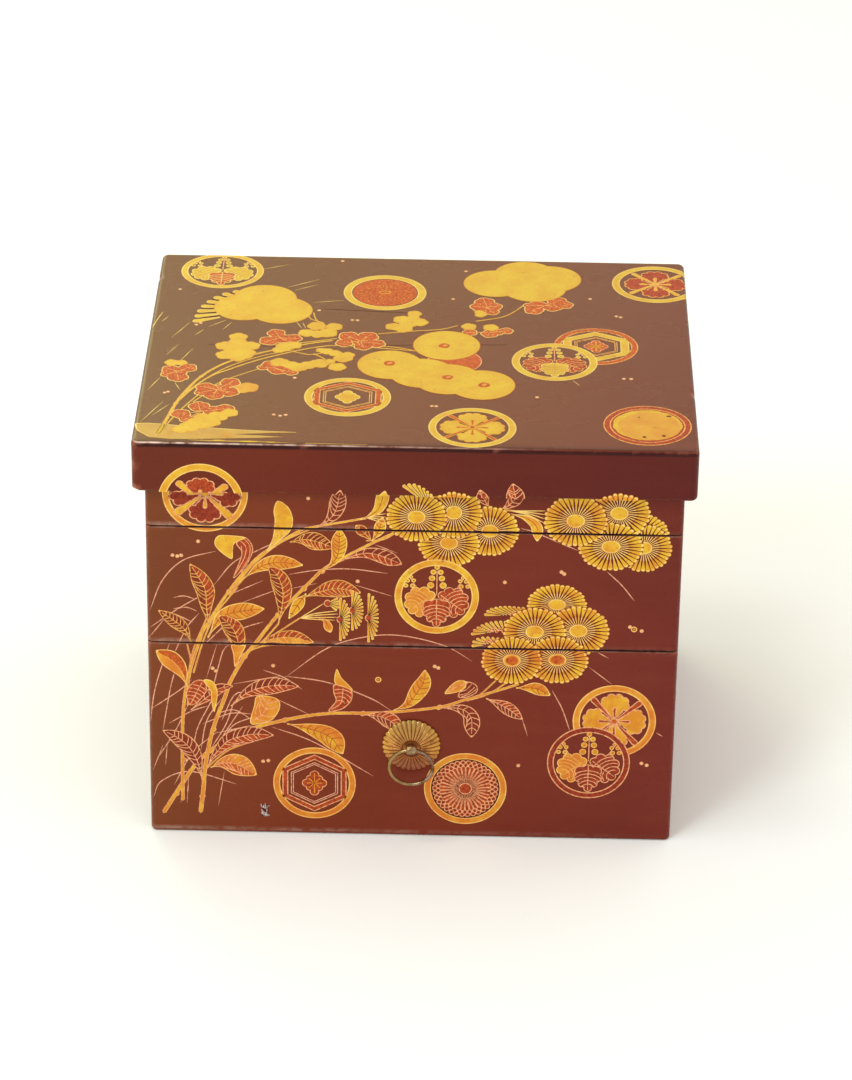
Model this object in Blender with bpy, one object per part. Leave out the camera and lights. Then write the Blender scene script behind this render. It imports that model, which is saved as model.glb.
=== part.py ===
"""Stacked lacquer food box: a covering lid over three tiers, with a cord ring front and back.

Metres, +Z up. The origin is the middle of the underside, the front faces -Y and the long
side runs along X.
"""
import math

import bmesh
import bpy
from mathutils import Euler, Matrix, Vector

MM = 0.001

# ---- driving dimensions -----------------------------------------------------------------
LID_WIDTH = 260.0 * MM
LID_DEPTH = 210.0 * MM
LID_TOP = 211.5 * MM            # whole height of the stack
LID_RIM = 186.0 * MM            # lower edge of the lid's skirt
LID_OVERHANG = 5.5 * MM         # how far the skirt stands out past the tiers
UPPER_SEAM = 165.6 * MM         # upper tray on middle tray
LOWER_SEAM = 104.0 * MM         # middle tray on bottom box

WALL = 5.0 * MM                 # walls of the lid and of every tier
LID_PLATE = 5.5 * MM
TRAY_FLOOR = 5.5 * MM
BOX_FLOOR = 6.0 * MM
FOOT_DEPTH = 5.0 * MM           # how far a tray's foot sits in the mouth below it
FIT_GAP = 0.3 * MM              # between touching pieces
FOOT_PLAY = 0.6 * MM            # between a foot and the mouth around it, each side

LID_CORNER = 3.4 * MM
TIER_CORNER = 2.8 * MM
INNER_CORNER = 1.6 * MM
LID_EDGE = 1.8 * MM             # rounding of the lid's top edge
BASE_EDGE = 1.7 * MM            # rounding round the underside
SEAM_EDGE = 0.35 * MM           # small break of every other edge
CORNER_STEPS = 5

TIER_WIDTH = LID_WIDTH - 2 * LID_OVERHANG
TIER_DEPTH = LID_DEPTH - 2 * LID_OVERHANG

FITTING_HEIGHT = 51.0 * MM      # middle of the rosettes above the base
ROSETTE_RADIUS = 13.8 * MM
ROSETTE_PETALS = 32
ROSETTE_RIM = 0.9 * MM          # thickness at the rim
ROSETTE_CREST = 4.6 * MM        # height of the petals' inner ends
ROSETTE_EYE_RADIUS = 4.6 * MM   # the sunk middle
ROSETTE_EYE_HEIGHT = 3.3 * MM
FLUTE_DEPTH = 0.45 * MM         # valley below ridge, at the widest part of a petal
SCALLOP_DEPTH = 0.55 * MM       # notch between two petals at the rim

HINGE_OUT = 6.5 * MM            # ring axis, out from the wall
HINGE_RISE = 0.6 * MM           # ring axis above the rosette's middle
EYE_RING_RADIUS = 2.02 * MM     # middle of the eye's band, from the ring axis
EYE_BAND_HALF_WIDTH = 2.3 * MM
EYE_BAND_HALF_THICKNESS = 0.58 * MM
STEM_RADIUS = 1.1 * MM
STEM_HOLE_RADIUS = 1.5 * MM
LEG_LENGTH = 8.0 * MM
LEG_WIDTH = 2.4 * MM
LEG_THICKNESS = 0.8 * MM

RING_WIRE = 0.9 * MM            # radius of the ring's wire
RING_HALF_WIDTH = 10.3 * MM     # to the wire's middle; the ring is a little wider than tall
RING_HALF_HEIGHT = 9.4 * MM
RING_SEGMENTS = 44


# ---- scene and materials ----------------------------------------------------------------
def clear_scene():
    for old in list(bpy.data.objects):
        bpy.data.objects.remove(old, do_unlink=True)


def new_collection(name):
    collection = bpy.data.collections.new(name)
    bpy.context.scene.collection.children.link(collection)
    return collection


def new_material(name, colour, roughness, metallic):
    material = bpy.data.materials.new(name)
    material.use_nodes = True
    shader = material.node_tree.nodes["Principled BSDF"]
    shader.inputs["Base Color"].default_value = (*colour, 1.0)
    shader.inputs["Roughness"].default_value = roughness
    shader.inputs["Metallic"].default_value = metallic
    return material


def add_object(name, mesh, collection, material=None):
    obj = bpy.data.objects.new(name, mesh)
    collection.objects.link(obj)
    if material:
        mesh.materials.append(material)
    return obj


# ---- boxes ------------------------------------------------------------------------------
def bevel_edges(bm, wanted, radius, segments):
    edges = [edge for edge in bm.edges if wanted(edge)]
    bmesh.ops.bevel(bm, geom=edges, offset=radius, segments=segments, profile=0.5,
                    affect='EDGES', clamp_overlap=True)


def flat_at(height):
    """A test for the edges that lie at one height."""
    return lambda edge: all(abs(v.co.z - height) < 1e-7 for v in edge.verts)


def upright(edge):
    low, high = sorted(edge.verts, key=lambda v: v.co.z)
    return high.co.z - low.co.z > 1e-6


def rounded_box(name, width, depth, low, high, corner, low_edge=0.0, high_edge=0.0,
                edge_segments=3):
    """A mesh box between two heights, its upright corners and level edges rounded."""
    bm = bmesh.new()
    bmesh.ops.create_cube(bm, size=1.0)
    bmesh.ops.scale(bm, vec=(width, depth, high - low), verts=bm.verts)
    bmesh.ops.translate(bm, vec=(0, 0, (low + high) / 2), verts=bm.verts)
    bevel_edges(bm, upright, corner, CORNER_STEPS)
    for height, radius in ((low, low_edge), (high, high_edge)):
        if radius:
            bevel_edges(bm, flat_at(height), radius, edge_segments)
    mesh = bpy.data.meshes.new(name)
    bm.to_mesh(mesh)
    bm.free()
    return mesh


def as_cutter(obj):
    obj.hide_render = True
    obj.display_type = 'WIRE'
    return obj


def add_boolean(obj, other, operation):
    modifier = obj.modifiers.new(operation.title(), 'BOOLEAN')
    modifier.operation = operation
    modifier.object = other
    modifier.solver = 'EXACT'
    return modifier


def build_lid(parts, cutters, material):
    mesh = rounded_box("lid", LID_WIDTH, LID_DEPTH, LID_RIM, LID_TOP, LID_CORNER,
                       low_edge=SEAM_EDGE, high_edge=LID_EDGE)
    lid = add_object("lid", mesh, parts, material)
    inside = rounded_box("lid_inside", LID_WIDTH - 2 * WALL, LID_DEPTH - 2 * WALL,
                         LID_RIM - WALL, LID_TOP - LID_PLATE, INNER_CORNER)
    add_boolean(lid, as_cutter(add_object("lid_inside", inside, cutters)), 'DIFFERENCE')
    return lid


def build_tray(name, low, high, parts, cutters, material):
    """An open tray whose floor is also the foot that sits in the mouth below."""
    mesh = rounded_box(name, TIER_WIDTH, TIER_DEPTH, low, high, TIER_CORNER,
                       low_edge=SEAM_EDGE, high_edge=SEAM_EDGE, edge_segments=1)
    tray = add_object(name, mesh, parts, material)
    inset = 2 * (WALL + FOOT_PLAY)
    floor = low - FOOT_DEPTH + TRAY_FLOOR
    foot = rounded_box(name + "_foot", TIER_WIDTH - inset, TIER_DEPTH - inset,
                       low - FOOT_DEPTH, low + FIT_GAP, INNER_CORNER,
                       low_edge=SEAM_EDGE, edge_segments=1)
    add_boolean(tray, as_cutter(add_object(name + "_foot", foot, cutters)), 'UNION')
    inside = rounded_box(name + "_inside", TIER_WIDTH - 2 * WALL, TIER_DEPTH - 2 * WALL,
                         floor, high + WALL, INNER_CORNER)
    add_boolean(tray, as_cutter(add_object(name + "_inside", inside, cutters)), 'DIFFERENCE')
    return tray


def build_bottom_box(parts, cutters, material):
    mesh = rounded_box("bottom_box", TIER_WIDTH, TIER_DEPTH, 0.0, LOWER_SEAM - FIT_GAP / 2,
                       TIER_CORNER, low_edge=BASE_EDGE, high_edge=SEAM_EDGE)
    box = add_object("bottom_box", mesh, parts, material)
    inside = rounded_box("bottom_inside", TIER_WIDTH - 2 * WALL, TIER_DEPTH - 2 * WALL,
                         BOX_FLOOR, LOWER_SEAM + WALL, INNER_CORNER)
    add_boolean(box, as_cutter(add_object("bottom_inside", inside, cutters)), 'DIFFERENCE')
    bm = bmesh.new()
    bmesh.ops.create_cone(bm, cap_ends=True, segments=16, radius1=STEM_HOLE_RADIUS,
                          radius2=STEM_HOLE_RADIUS, depth=TIER_DEPTH + 4 * WALL,
                          matrix=Matrix.Translation((0, 0, FITTING_HEIGHT))
                          @ Matrix.Rotation(math.pi / 2, 4, 'X'))
    holes = bpy.data.meshes.new("stem_holes")
    bm.to_mesh(holes)
    bm.free()
    add_boolean(box, as_cutter(add_object("stem_holes", holes, cutters)), 'DIFFERENCE')
    return box


# ---- cord fittings ----------------------------------------------------------------------
# Each fitting is drawn with +Z out from the wall and +Y up, then stood on its wall.
def wall_matrix(side):
    """From fitting space to the front (side -1) or back (side +1) wall."""
    turn = Euler((math.pi / 2, 0, 0 if side < 0 else math.pi)).to_matrix().to_4x4()
    return Matrix.Translation((0, side * TIER_DEPTH / 2, FITTING_HEIGHT)) @ turn


def petal_height(share):
    """Ridge height of a petal, from its inner end (share 0) to the rim (share 1)."""
    return ROSETTE_RIM + (ROSETTE_CREST - ROSETTE_RIM) * (1.0 - share ** 1.7)


def build_rosette(name, side, parts, material):
    """A domed plate of narrow petals round a sunk middle, with a hole for the pin."""
    around = 4 * ROSETTE_PETALS
    shares = (1.0, 0.93, 0.78, 0.55, 0.28, 0.0)
    bm = bmesh.new()

    def ring_of(radius_at, height_at):
        return [bm.verts.new((radius_at(k) * math.cos(math.tau * k / around),
                              radius_at(k) * math.sin(math.tau * k / around),
                              height_at(k))) for k in range(around)]

    def ridge(k):
        """1 on the crest of a petal, 0 in the valley between two."""
        return 0.5 - 0.5 * math.cos(math.tau * ROSETTE_PETALS * k / around)

    rim_radius = lambda k: ROSETTE_RADIUS - SCALLOP_DEPTH * (1 - ridge(k))
    rings = [ring_of(lambda k: STEM_HOLE_RADIUS, lambda k: FIT_GAP),
             ring_of(rim_radius, lambda k: FIT_GAP)]
    for share in shares:
        radius = ROSETTE_EYE_RADIUS + (ROSETTE_RADIUS - ROSETTE_EYE_RADIUS) * share
        flute = FLUTE_DEPTH * math.sin(math.pi * min(0.95, 0.25 + 0.7 * share))
        at_rim = share == 1.0
        rings.append(ring_of(rim_radius if at_rim else (lambda k, r=radius: r),
                             lambda k, s=share, f=flute: petal_height(s) - f * (1 - ridge(k))))
    rings.append(ring_of(lambda k: ROSETTE_EYE_RADIUS - 0.5 * MM, lambda k: ROSETTE_EYE_HEIGHT))
    rings.append(ring_of(lambda k: STEM_HOLE_RADIUS, lambda k: ROSETTE_EYE_HEIGHT))
    for inner, outer in zip(rings, rings[1:] + rings[:1]):
        for k in range(around):
            after = (k + 1) % around
            bm.faces.new((inner[k], inner[after], outer[after], outer[k]))
    bmesh.ops.recalc_face_normals(bm, faces=bm.faces)
    mesh = bpy.data.meshes.new(name)
    bm.to_mesh(mesh)
    bm.free()
    mesh.shade_smooth()
    mesh.set_sharp_from_angle(angle=math.radians(40))
    rosette = add_object(name, mesh, parts, material)
    rosette.matrix_world = wall_matrix(side)
    return rosette


def join_mesh(name, build):
    """A mesh object's data filled by build(bm)."""
    bm = bmesh.new()
    build(bm)
    mesh = bpy.data.meshes.new(name)
    bm.to_mesh(mesh)
    bm.free()
    return mesh


def eye_band(bm, around=20, across=8):
    """The eye: a flat oval band turned round the ring axis, which lies along X."""
    bands = []
    for i in range(around):
        turn = math.tau * i / around
        band = []
        for j in range(across):
            angle = math.tau * j / across
            radius = EYE_RING_RADIUS + EYE_BAND_HALF_THICKNESS * math.sin(angle)
            band.append(bm.verts.new((EYE_BAND_HALF_WIDTH * math.cos(angle),
                                      HINGE_RISE + radius * math.cos(turn),
                                      HINGE_OUT + radius * math.sin(turn))))
        bands.append(band)
    for i in range(around):
        for j in range(across):
            here, there, after = bands[i], bands[(i + 1) % around], (j + 1) % across
            bm.faces.new((here[j], here[after], there[after], there[j]))
    bmesh.ops.recalc_face_normals(bm, faces=bm.faces)


def eye_stem(bm):
    """The pin's stem, from inside the eye's band to just inside the box."""
    top = HINGE_OUT - EYE_RING_RADIUS
    end = -WALL - FIT_GAP - LEG_THICKNESS
    bmesh.ops.create_cone(bm, cap_ends=True, segments=12, radius1=STEM_RADIUS,
                          radius2=STEM_RADIUS, depth=top - end,
                          matrix=Matrix.Translation((0, 0, (top + end) / 2)))


def eye_legs(bm):
    """The pin's two legs, bent flat up and down against the inside of the wall."""
    middle = -WALL - FIT_GAP - LEG_THICKNESS / 2
    bmesh.ops.create_cube(bm, size=1.0, matrix=Matrix.Translation((0, 0, middle)))
    for vert in bm.verts:
        vert.co.x *= LEG_WIDTH
        vert.co.y *= 2 * LEG_LENGTH
        vert.co.z = middle + (vert.co.z - middle) * LEG_THICKNESS


def build_eye(name, side, parts, cutters, material):
    eye = add_object(name, join_mesh(name, eye_band), parts, material)
    eye.matrix_world = wall_matrix(side)
    for suffix, build in (("_stem", eye_stem), ("_legs", eye_legs)):
        piece = as_cutter(add_object(name + suffix, join_mesh(name + suffix, build), cutters))
        piece.matrix_world = wall_matrix(side)
        add_boolean(eye, piece, 'UNION')
    return eye


def build_ring(name, side, parts, material):
    """The cord ring hanging from its eye. Its origin is on the hinge axis."""
    curve = bpy.data.curves.new(name, 'CURVE')
    curve.dimensions = '3D'
    curve.bevel_depth = RING_WIRE
    curve.bevel_resolution = 2
    spline = curve.splines.new('POLY')
    spline.points.add(RING_SEGMENTS - 1)
    for k, point in enumerate(spline.points):
        angle = math.tau * k / RING_SEGMENTS
        point.co = (RING_HALF_WIDTH * math.sin(angle),
                    0.0,
                    RING_HALF_HEIGHT * (math.cos(angle) - 1.0), 1.0)
    spline.use_cyclic_u = True
    curve.materials.append(material)
    ring = bpy.data.objects.new(name, curve)
    ring.location = Vector((0, side * (TIER_DEPTH / 2 + HINGE_OUT), FITTING_HEIGHT + HINGE_RISE))
    parts.objects.link(ring)
    return ring


# ---- the whole object -------------------------------------------------------------------
def main():
    clear_scene()
    parts = new_collection("Stacked lacquer food box")
    cutters = new_collection("Cutters")
    lacquer = new_material("Brown lacquer", (0.19, 0.043, 0.024), 0.28, 0.0)
    gilt = new_material("Gilt copper", (0.55, 0.33, 0.09), 0.38, 1.0)
    worn_silver = new_material("Worn silvered copper", (0.42, 0.36, 0.27), 0.35, 1.0)

    build_lid(parts, cutters, lacquer)
    build_tray("upper_tray", UPPER_SEAM + FIT_GAP / 2, LID_TOP - LID_PLATE - FIT_GAP,
               parts, cutters, lacquer)
    build_tray("middle_tray", LOWER_SEAM + FIT_GAP / 2, UPPER_SEAM - FIT_GAP / 2,
               parts, cutters, lacquer)
    build_bottom_box(parts, cutters, lacquer)
    for prefix, side in (("front", -1), ("back", 1)):
        build_rosette(prefix + "_rosette", side, parts, gilt)
        build_eye(prefix + "_eye", side, parts, cutters, worn_silver)
        build_ring(prefix + "_ring", side, parts, worn_silver)


main()
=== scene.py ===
"""Looks of the stacked lacquer food box.

Worn red-brown lacquer with crests, chrysanthemums and leaves in gold and red, and a gilt
rosette with its cord ring on the front and on the back.  Lengths are in millimetres until
a mesh is made, which is in metres.
"""
import math
import random

import bpy
import numpy as np
from mathutils import Matrix, Vector, noise
from mathutils.geometry import delaunay_2d_cdt


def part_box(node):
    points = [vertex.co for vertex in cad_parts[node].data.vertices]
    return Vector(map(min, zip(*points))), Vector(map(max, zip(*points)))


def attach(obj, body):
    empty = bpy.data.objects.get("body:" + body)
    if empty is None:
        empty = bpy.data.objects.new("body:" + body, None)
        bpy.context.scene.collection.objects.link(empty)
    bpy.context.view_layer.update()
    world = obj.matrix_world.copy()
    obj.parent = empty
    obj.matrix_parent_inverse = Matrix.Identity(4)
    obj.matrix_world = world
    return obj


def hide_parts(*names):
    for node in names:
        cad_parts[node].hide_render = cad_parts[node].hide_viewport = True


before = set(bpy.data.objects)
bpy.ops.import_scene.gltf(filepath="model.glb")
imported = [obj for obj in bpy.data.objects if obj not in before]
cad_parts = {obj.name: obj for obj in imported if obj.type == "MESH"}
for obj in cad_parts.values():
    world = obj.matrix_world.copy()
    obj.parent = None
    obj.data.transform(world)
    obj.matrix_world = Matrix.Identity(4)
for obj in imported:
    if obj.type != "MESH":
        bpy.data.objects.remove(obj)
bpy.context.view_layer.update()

MM = 0.001


def box_mm(node):
    low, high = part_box(node)
    return low / MM, high / MM


# ---- sizes, from the frame where it has them ----------------------------------------------
LID_LOW, LID_HIGH = box_mm("lid")
UPPER_LOW, UPPER_HIGH = box_mm("upper_tray")
MIDDLE_LOW, MIDDLE_HIGH = box_mm("middle_tray")
BASE_LOW, BASE_HIGH = box_mm("bottom_box")
HALF_GAP = 0.15                      # half the gap between two tiers
LID_TOP, LID_RIM = LID_HIGH.z, LID_LOW.z
UPPER_SEAM = MIDDLE_HIGH.z + HALF_GAP
LOWER_SEAM = BASE_HIGH.z + HALF_GAP

WALL = 5.0
FOOT_PLAY = 0.6
TRAY_FLOOR = 5.5                     # a tray's floor, foot included
BOX_FLOOR = 6.0
LID_PLATE = 5.5
INNER_CORNER = 1.6
LID_CORNER = 3.4
TIER_CORNER = 2.8
LID_EDGE = 1.8                       # rounding of the lid's top edge
RIM_EDGE = 2.1                       # rounding of the skirt's lower edge
BASE_EDGE = 1.7
SEAM_EDGE = 0.5

FITTING_HEIGHT = 51.0                # middle of the rosettes above the base
RELIEF = 0.09                        # height of the lowest decoration above the lacquer
LAYER = 0.03                         # from one layer of the decoration to the next
CREST = 19.7                         # radius of most crests


# ---- materials ----------------------------------------------------------------------------
def srgb(red, green, blue):
    """A display colour, 0 to 255, as the linear colour a shader wants."""
    def linear(value):
        value /= 255.0
        return value / 12.92 if value <= 0.04045 else ((value + 0.055) / 1.055) ** 2.4
    return (linear(red), linear(green), linear(blue), 1.0)


class Finish:
    """One material and the nodes that feed its shader."""

    def __init__(self, name):
        self.material = bpy.data.materials.new(name)
        self.material.use_nodes = True
        self.tree = self.material.node_tree
        self.shader = self.tree.nodes["Principled BSDF"]
        self.place = self.add("ShaderNodeTexCoord").outputs["Object"]

    def add(self, kind, inputs=None, **settings):
        node = self.tree.nodes.new(kind)
        for key, value in settings.items():
            setattr(node, key, value)
        for key, value in (inputs or {}).items():
            self.feed(node.inputs[key], value)
        return node

    def feed(self, socket, value):
        if isinstance(value, bpy.types.NodeSocket):
            self.tree.links.new(value, socket)
        else:
            socket.default_value = value

    def noise(self, scale, detail=4.0, stretch=None, roughness=0.5):
        where = self.place
        if stretch:
            mapping = {"Vector": self.place, "Scale": stretch}
            where = self.add("ShaderNodeMapping", mapping).outputs[0]
        wanted = {"Vector": where, "Scale": scale, "Detail": detail, "Roughness": roughness}
        return self.add("ShaderNodeTexNoise", wanted).outputs[0]

    def spread(self, value, low, high, to_low=0.0, to_high=1.0):
        """value from low..high turned into to_low..to_high, held at the ends. A value
        that is a pair of numbers stands for noise of that scale and detail."""
        if isinstance(value, tuple):
            value = self.noise(*value)
        wanted = {"Value": value, "From Min": low, "From Max": high,
                  "To Min": to_low, "To Max": to_high}
        return self.add("ShaderNodeMapRange", wanted).outputs[0]

    def mix(self, share, first, second, blend='MIX'):
        node = self.add("ShaderNodeMix", {0: share, 6: first, 7: second},
                        data_type='RGBA', blend_type=blend)
        return node.outputs[2]

    def maths(self, operation, first, second):
        return self.add("ShaderNodeMath", {0: first, 1: second}, operation=operation).outputs[0]

    def over(self, body, colour, share, *shares):
        """body under a display colour, which is as strong as the product of the shares."""
        for more in shares:
            share = self.maths('MULTIPLY', share, more)
        return self.mix(share, body, srgb(*colour))

    def attribute(self, name):
        return self.add("ShaderNodeAttribute", attribute_name=name).outputs["Fac"]

    def along(self, axis):
        """A point's place along X, Y or Z, in metres."""
        return self.add("ShaderNodeSeparateXYZ", {0: self.place}).outputs[axis]

    def bump(self, height, strength, distance):
        node = self.add("ShaderNodeBump", {"Height": height, "Strength": strength,
                                           "Distance": distance})
        self.feed(self.shader.inputs["Normal"], node.outputs[0])

    def set(self, **values):
        for key, value in values.items():
            self.feed(self.shader.inputs[key.replace("_", " ")], value)
        return self.material


def lacquer_finish():
    """Brown lacquer: cloudy depth and lighter worn edges, with painted light: a painted sheen on the
    top and the left, painted shading towards the right and in near-black bands, and painted
    highlights on the front edges and the upright corners.
    """
    f = Finish("brown lacquer")
    cloud = f.spread((9, 3), 0.3, 0.7)
    body = f.mix(cloud, srgb(112, 35, 10), srgb(126, 41, 14))
    # Painted shading: darker, redder lacquer towards the right, away from the light.
    painted_shade_right = f.spread(f.along("X"), -0.05, 0.13)
    body = f.mix(painted_shade_right, body, f.mix(cloud, srgb(100, 24, 19), srgb(112, 30, 24)))
    streak = f.spread(f.noise(26.0, 5.0, stretch=(1.0, 1.0, 7.0)), 0.42, 0.72)
    body = f.over(body, (130, 56, 34), streak, 0.14)
    # Painted sheen: lighter, browner lacquer on the top and on the left, where the light falls.
    body = f.over(body, (116, 74, 34), f.attribute("painted_sheen"))
    # Painted shading: near black-red on the lid's skirt and under its top edge, along the seams
    # and along the top's front edge.
    body = f.over(body, (44, 8, 6), f.attribute("painted_shade_and_stains"))
    # Lighter worn edges, with a painted highlight on the upright corners.
    rub_and_sheen = f.maths('MULTIPLY', f.attribute("wear_and_sheen"), f.spread((330, 6), 0.38, 0.6))
    body = f.over(body, (150, 84, 60), rub_and_sheen)
    body = f.over(body, (158, 88, 62), f.attribute("bare"), f.spread((520, 5), 0.3, 0.5))
    # Painted highlight: pale lines along the front edges and down the front-left corner.
    body = f.over(body, (236, 212, 194), f.attribute("painted_highlight"), f.spread((240, 4), 0.3, 0.55))
    body = f.over(body, (150, 105, 84), f.spread((1500, 2), 0.7, 0.78), 0.16)
    dull = f.spread((38, 2), 0.35, 0.75, 0.24, 0.3)
    dull = f.maths('ADD', dull, f.maths('MULTIPLY', rub_and_sheen, 0.25))
    f.bump(f.noise(1400.0, 2.0), 0.03, 0.0001)
    return f.set(Base_Color=body, Roughness=dull, IOR=1.27)


def gold_finish(name, bright, deep, speck=0.35):
    """Sprinkled gold: warmer low on the box, cloudy, with the dark ground between the grains."""
    f = Finish(name)
    drift = f.spread(f.along("Z"), 0.03, 0.17, 0.75, 0.15)
    even = f.spread(f.along("Z"), 0.18, 0.21, 1.0, 0.4)
    cloud = f.maths('MULTIPLY', f.spread((110, 5), 0.35, 0.65, -0.5, 0.65), even)
    body = f.mix(f.spread(f.maths('ADD', drift, cloud), 0.0, 1.0), bright, deep)
    body = f.mix(f.spread(f.along("Z"), 0.2, 0.211), body, (0.9, 1.0, 0.95, 1.0), 'MULTIPLY')
    stain = f.spread((420, 3), 0.54, 0.68)
    body = f.over(body, (206, 116, 36), stain, f.maths('MULTIPLY', even, 0.5))
    body = f.over(body, (150, 88, 34), f.spread((2600, 2), 0.6, 0.74), speck)
    body = f.over(body, (140, 70, 36), f.spread((330, 5), 0.66, 0.74), 0.5)
    dull = f.spread((600, 3), 0.3, 0.7, 0.36, 0.52)
    f.bump(f.noise(1700.0, 3.0), 0.12, 0.0002)
    return f.set(Base_Color=body, Roughness=dull, Metallic=0.25, IOR=1.4)


def colour_finish(name, bright, deep):
    """Red, orange or rose lacquer colour, unevenly laid."""
    f = Finish(name)
    body = f.mix(f.spread((760, 5), 0.38, 0.62), bright, deep)
    body = f.over(body, (112, 42, 24), f.spread((620, 4), 0.54, 0.66), 0.55)
    f.bump(f.noise(1300.0, 3.0), 0.1, 0.0002)
    return f.set(Base_Color=body, Roughness=0.4, IOR=1.22)


def metal_finish(name, bright, deep, tarnish, share, dull):
    """Old metal: bright and deep in cloudy patches, darker tarnish in others, a warm oxide and
    an olive tone where a piece asks for them, in part painted reflection, and tarnish mixed in
    for painted shading and for stains.
    """
    f = Finish(name)
    body = f.mix(f.spread((420, 4), 0.35, 0.65), bright, deep)
    dark = f.spread(f.noise(260.0, 6.0, roughness=0.65), share, share + 0.16)
    body = f.mix(dark, body, tarnish)
    # Warm oxide, which on a rosette's lower petals and middle is a painted reflection of the red
    # lacquer.
    patina_and_painted_reflection = f.attribute("patina_and_painted_reflection")
    body = f.over(body, (164, 84, 48), patina_and_painted_reflection)
    # Olive tone: brassy on the ring and the eye, a painted reflection on a rosette's upper petals.
    body = f.over(body, (162, 134, 82), f.attribute("olive"))
    # Tarnish mixed in: painted shading in a rosette's grooves and hub, stains on the wires.
    body = f.mix(f.attribute("painted_shade_and_stains"), body, tarnish)
    rough = f.spread((900, 4), 0.3, 0.7, dull, dull + 0.2)
    f.bump(f.noise(1500.0, 5.0), 0.25, 0.0003)
    return f.set(Base_Color=body, Roughness=rough, Metallic=f.spread(patina_and_painted_reflection, 0.0, 1.0, 1.0, 0.4))


LACQUER = lacquer_finish()
PAINTS = {
    "gold": gold_finish("gold", srgb(227, 178, 42), srgb(213, 135, 26)),
    "amber": gold_finish("amber gold", srgb(226, 158, 44), srgb(210, 118, 28)),
    "dull": gold_finish("dull gold", srgb(206, 156, 70), srgb(188, 124, 48), 0.6),
    "pale": gold_finish("pale gold", srgb(244, 206, 118), srgb(238, 178, 92), 0.15),
    "rose": colour_finish("rose gold line", srgb(240, 176, 126), srgb(222, 148, 100)),
    "blush": colour_finish("blush line", srgb(234, 172, 140), srgb(218, 148, 114)),
    "straw": colour_finish("straw line", srgb(234, 180, 98), srgb(216, 150, 74)),
    "brick": colour_finish("worn red", srgb(136, 52, 30), srgb(118, 42, 24)),
    "umber": colour_finish("umber line", srgb(186, 100, 34), srgb(164, 80, 28)),
    "dark": colour_finish("dark line", srgb(64, 22, 14), srgb(82, 34, 22)),
    "scar": colour_finish("old repair", srgb(206, 194, 190), srgb(158, 138, 132)),
    "red": colour_finish("red", srgb(187, 77, 34), srgb(146, 54, 28)),
    "crimson": colour_finish("dark red", srgb(160, 60, 34), srgb(128, 44, 26)),
    "coral": colour_finish("orange red", srgb(200, 99, 36), srgb(180, 76, 28)),
}
RED_GROUP = ("red", "coral", "crimson", "brick")
GILT = metal_finish("gilt copper", srgb(238, 184, 88), srgb(204, 142, 60),
                    srgb(112, 60, 32), 0.56, 0.2)
SILVER = metal_finish("worn silver", srgb(184, 160, 148), srgb(128, 98, 72),
                      srgb(104, 74, 40), 0.46, 0.14)


# ---- meshes -------------------------------------------------------------------------------
def make_piece(name, vertices, faces, materials, body, node=None, indices=None,
               smooth=None, attributes=None):
    """A piece of the object from millimetre vertices. smooth is the sharpest smooth angle."""
    mesh = bpy.data.meshes.new(name)
    mesh.from_pydata([tuple(c * MM for c in v) for v in vertices], [], faces)
    for material in materials:
        mesh.materials.append(material)
    if indices:
        mesh.polygons.foreach_set("material_index", indices)
    for key, values in (attributes or {}).items():
        mesh.attributes.new(key, 'FLOAT', 'POINT').data.foreach_set("value", values)
    if smooth:
        mesh.shade_smooth()
        mesh.set_sharp_from_angle(angle=math.radians(smooth))
    mesh.update()
    obj = bpy.data.objects.new(name, mesh)
    bpy.context.scene.collection.objects.link(obj)
    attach(obj, body)
    if node:
        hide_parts(node)


def grid_faces(rows, columns, cyclic_rows=False):
    """Quads between rows of points that each close on themselves, and a face at each end
    unless the last row joins the first."""
    faces = [(r * columns + c, r * columns + (c + 1) % columns,
              (r + 1) % rows * columns + (c + 1) % columns, (r + 1) % rows * columns + c)
             for r in range(rows if cyclic_rows else rows - 1) for c in range(columns)]
    if not cyclic_rows:
        faces.append(tuple(range(columns))[::-1])
        faces.append(tuple((rows - 1) * columns + c for c in range(columns)))
    return faces


# ---- the lid and the tiers ----------------------------------------------------------------
class Belt:
    """The upright outside of a tier or of the lid's skirt. Sides 0 to 3 are the front, the
    right, the back and the left, and u runs along a side from its middle, to the right as
    it is looked at."""

    def __init__(self, half_x, half_y, corner):
        self.half_x, self.half_y, self.corner = half_x, half_y, corner
        self.turn = corner * math.pi / 2

    def flat(self, side):
        """Half the length of a side between its rounded corners."""
        return (self.half_y if side % 2 else self.half_x) - self.corner

    def point(self, side, u, out):
        """(x, y) of a place on a side, or round its corners, out from the surface."""
        flat = self.flat(side)
        depth = self.half_x if side % 2 else self.half_y
        over = max(0.0, abs(u) - flat)
        angle = min(over, self.turn) / self.corner
        radius = self.corner + out
        x = math.copysign(min(abs(u), flat) + radius * math.sin(angle), u)
        y = -(depth - self.corner + radius * math.cos(angle))
        for _ in range(side % 4):
            x, y = -y, x
        return x, y


def rounded_rows(half_x, half_y, rows):
    """Points of a stack of rounded rectangles. A row is (inset, height, corner radius)."""
    step, corner_steps = 1.7, 8
    count_x, count_y = int(2 * half_x / step), int(2 * half_y / step)
    vertices = []
    for inset, height, corner in rows:
        ring = Belt(half_x - inset, half_y - inset, corner)
        for side in range(4):
            flat = ring.flat(side)
            count = count_y if side % 2 else count_x
            for i in range(count):
                vertices.append((*ring.point(side, flat * (2 * i / count - 1), 0.0), height))
            for i in range(corner_steps):
                angle = math.pi / 2 * i / corner_steps
                vertices.append((*ring.point(side, flat + angle * corner, 0.0), height))
    return vertices, len(vertices) // len(rows)


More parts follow.
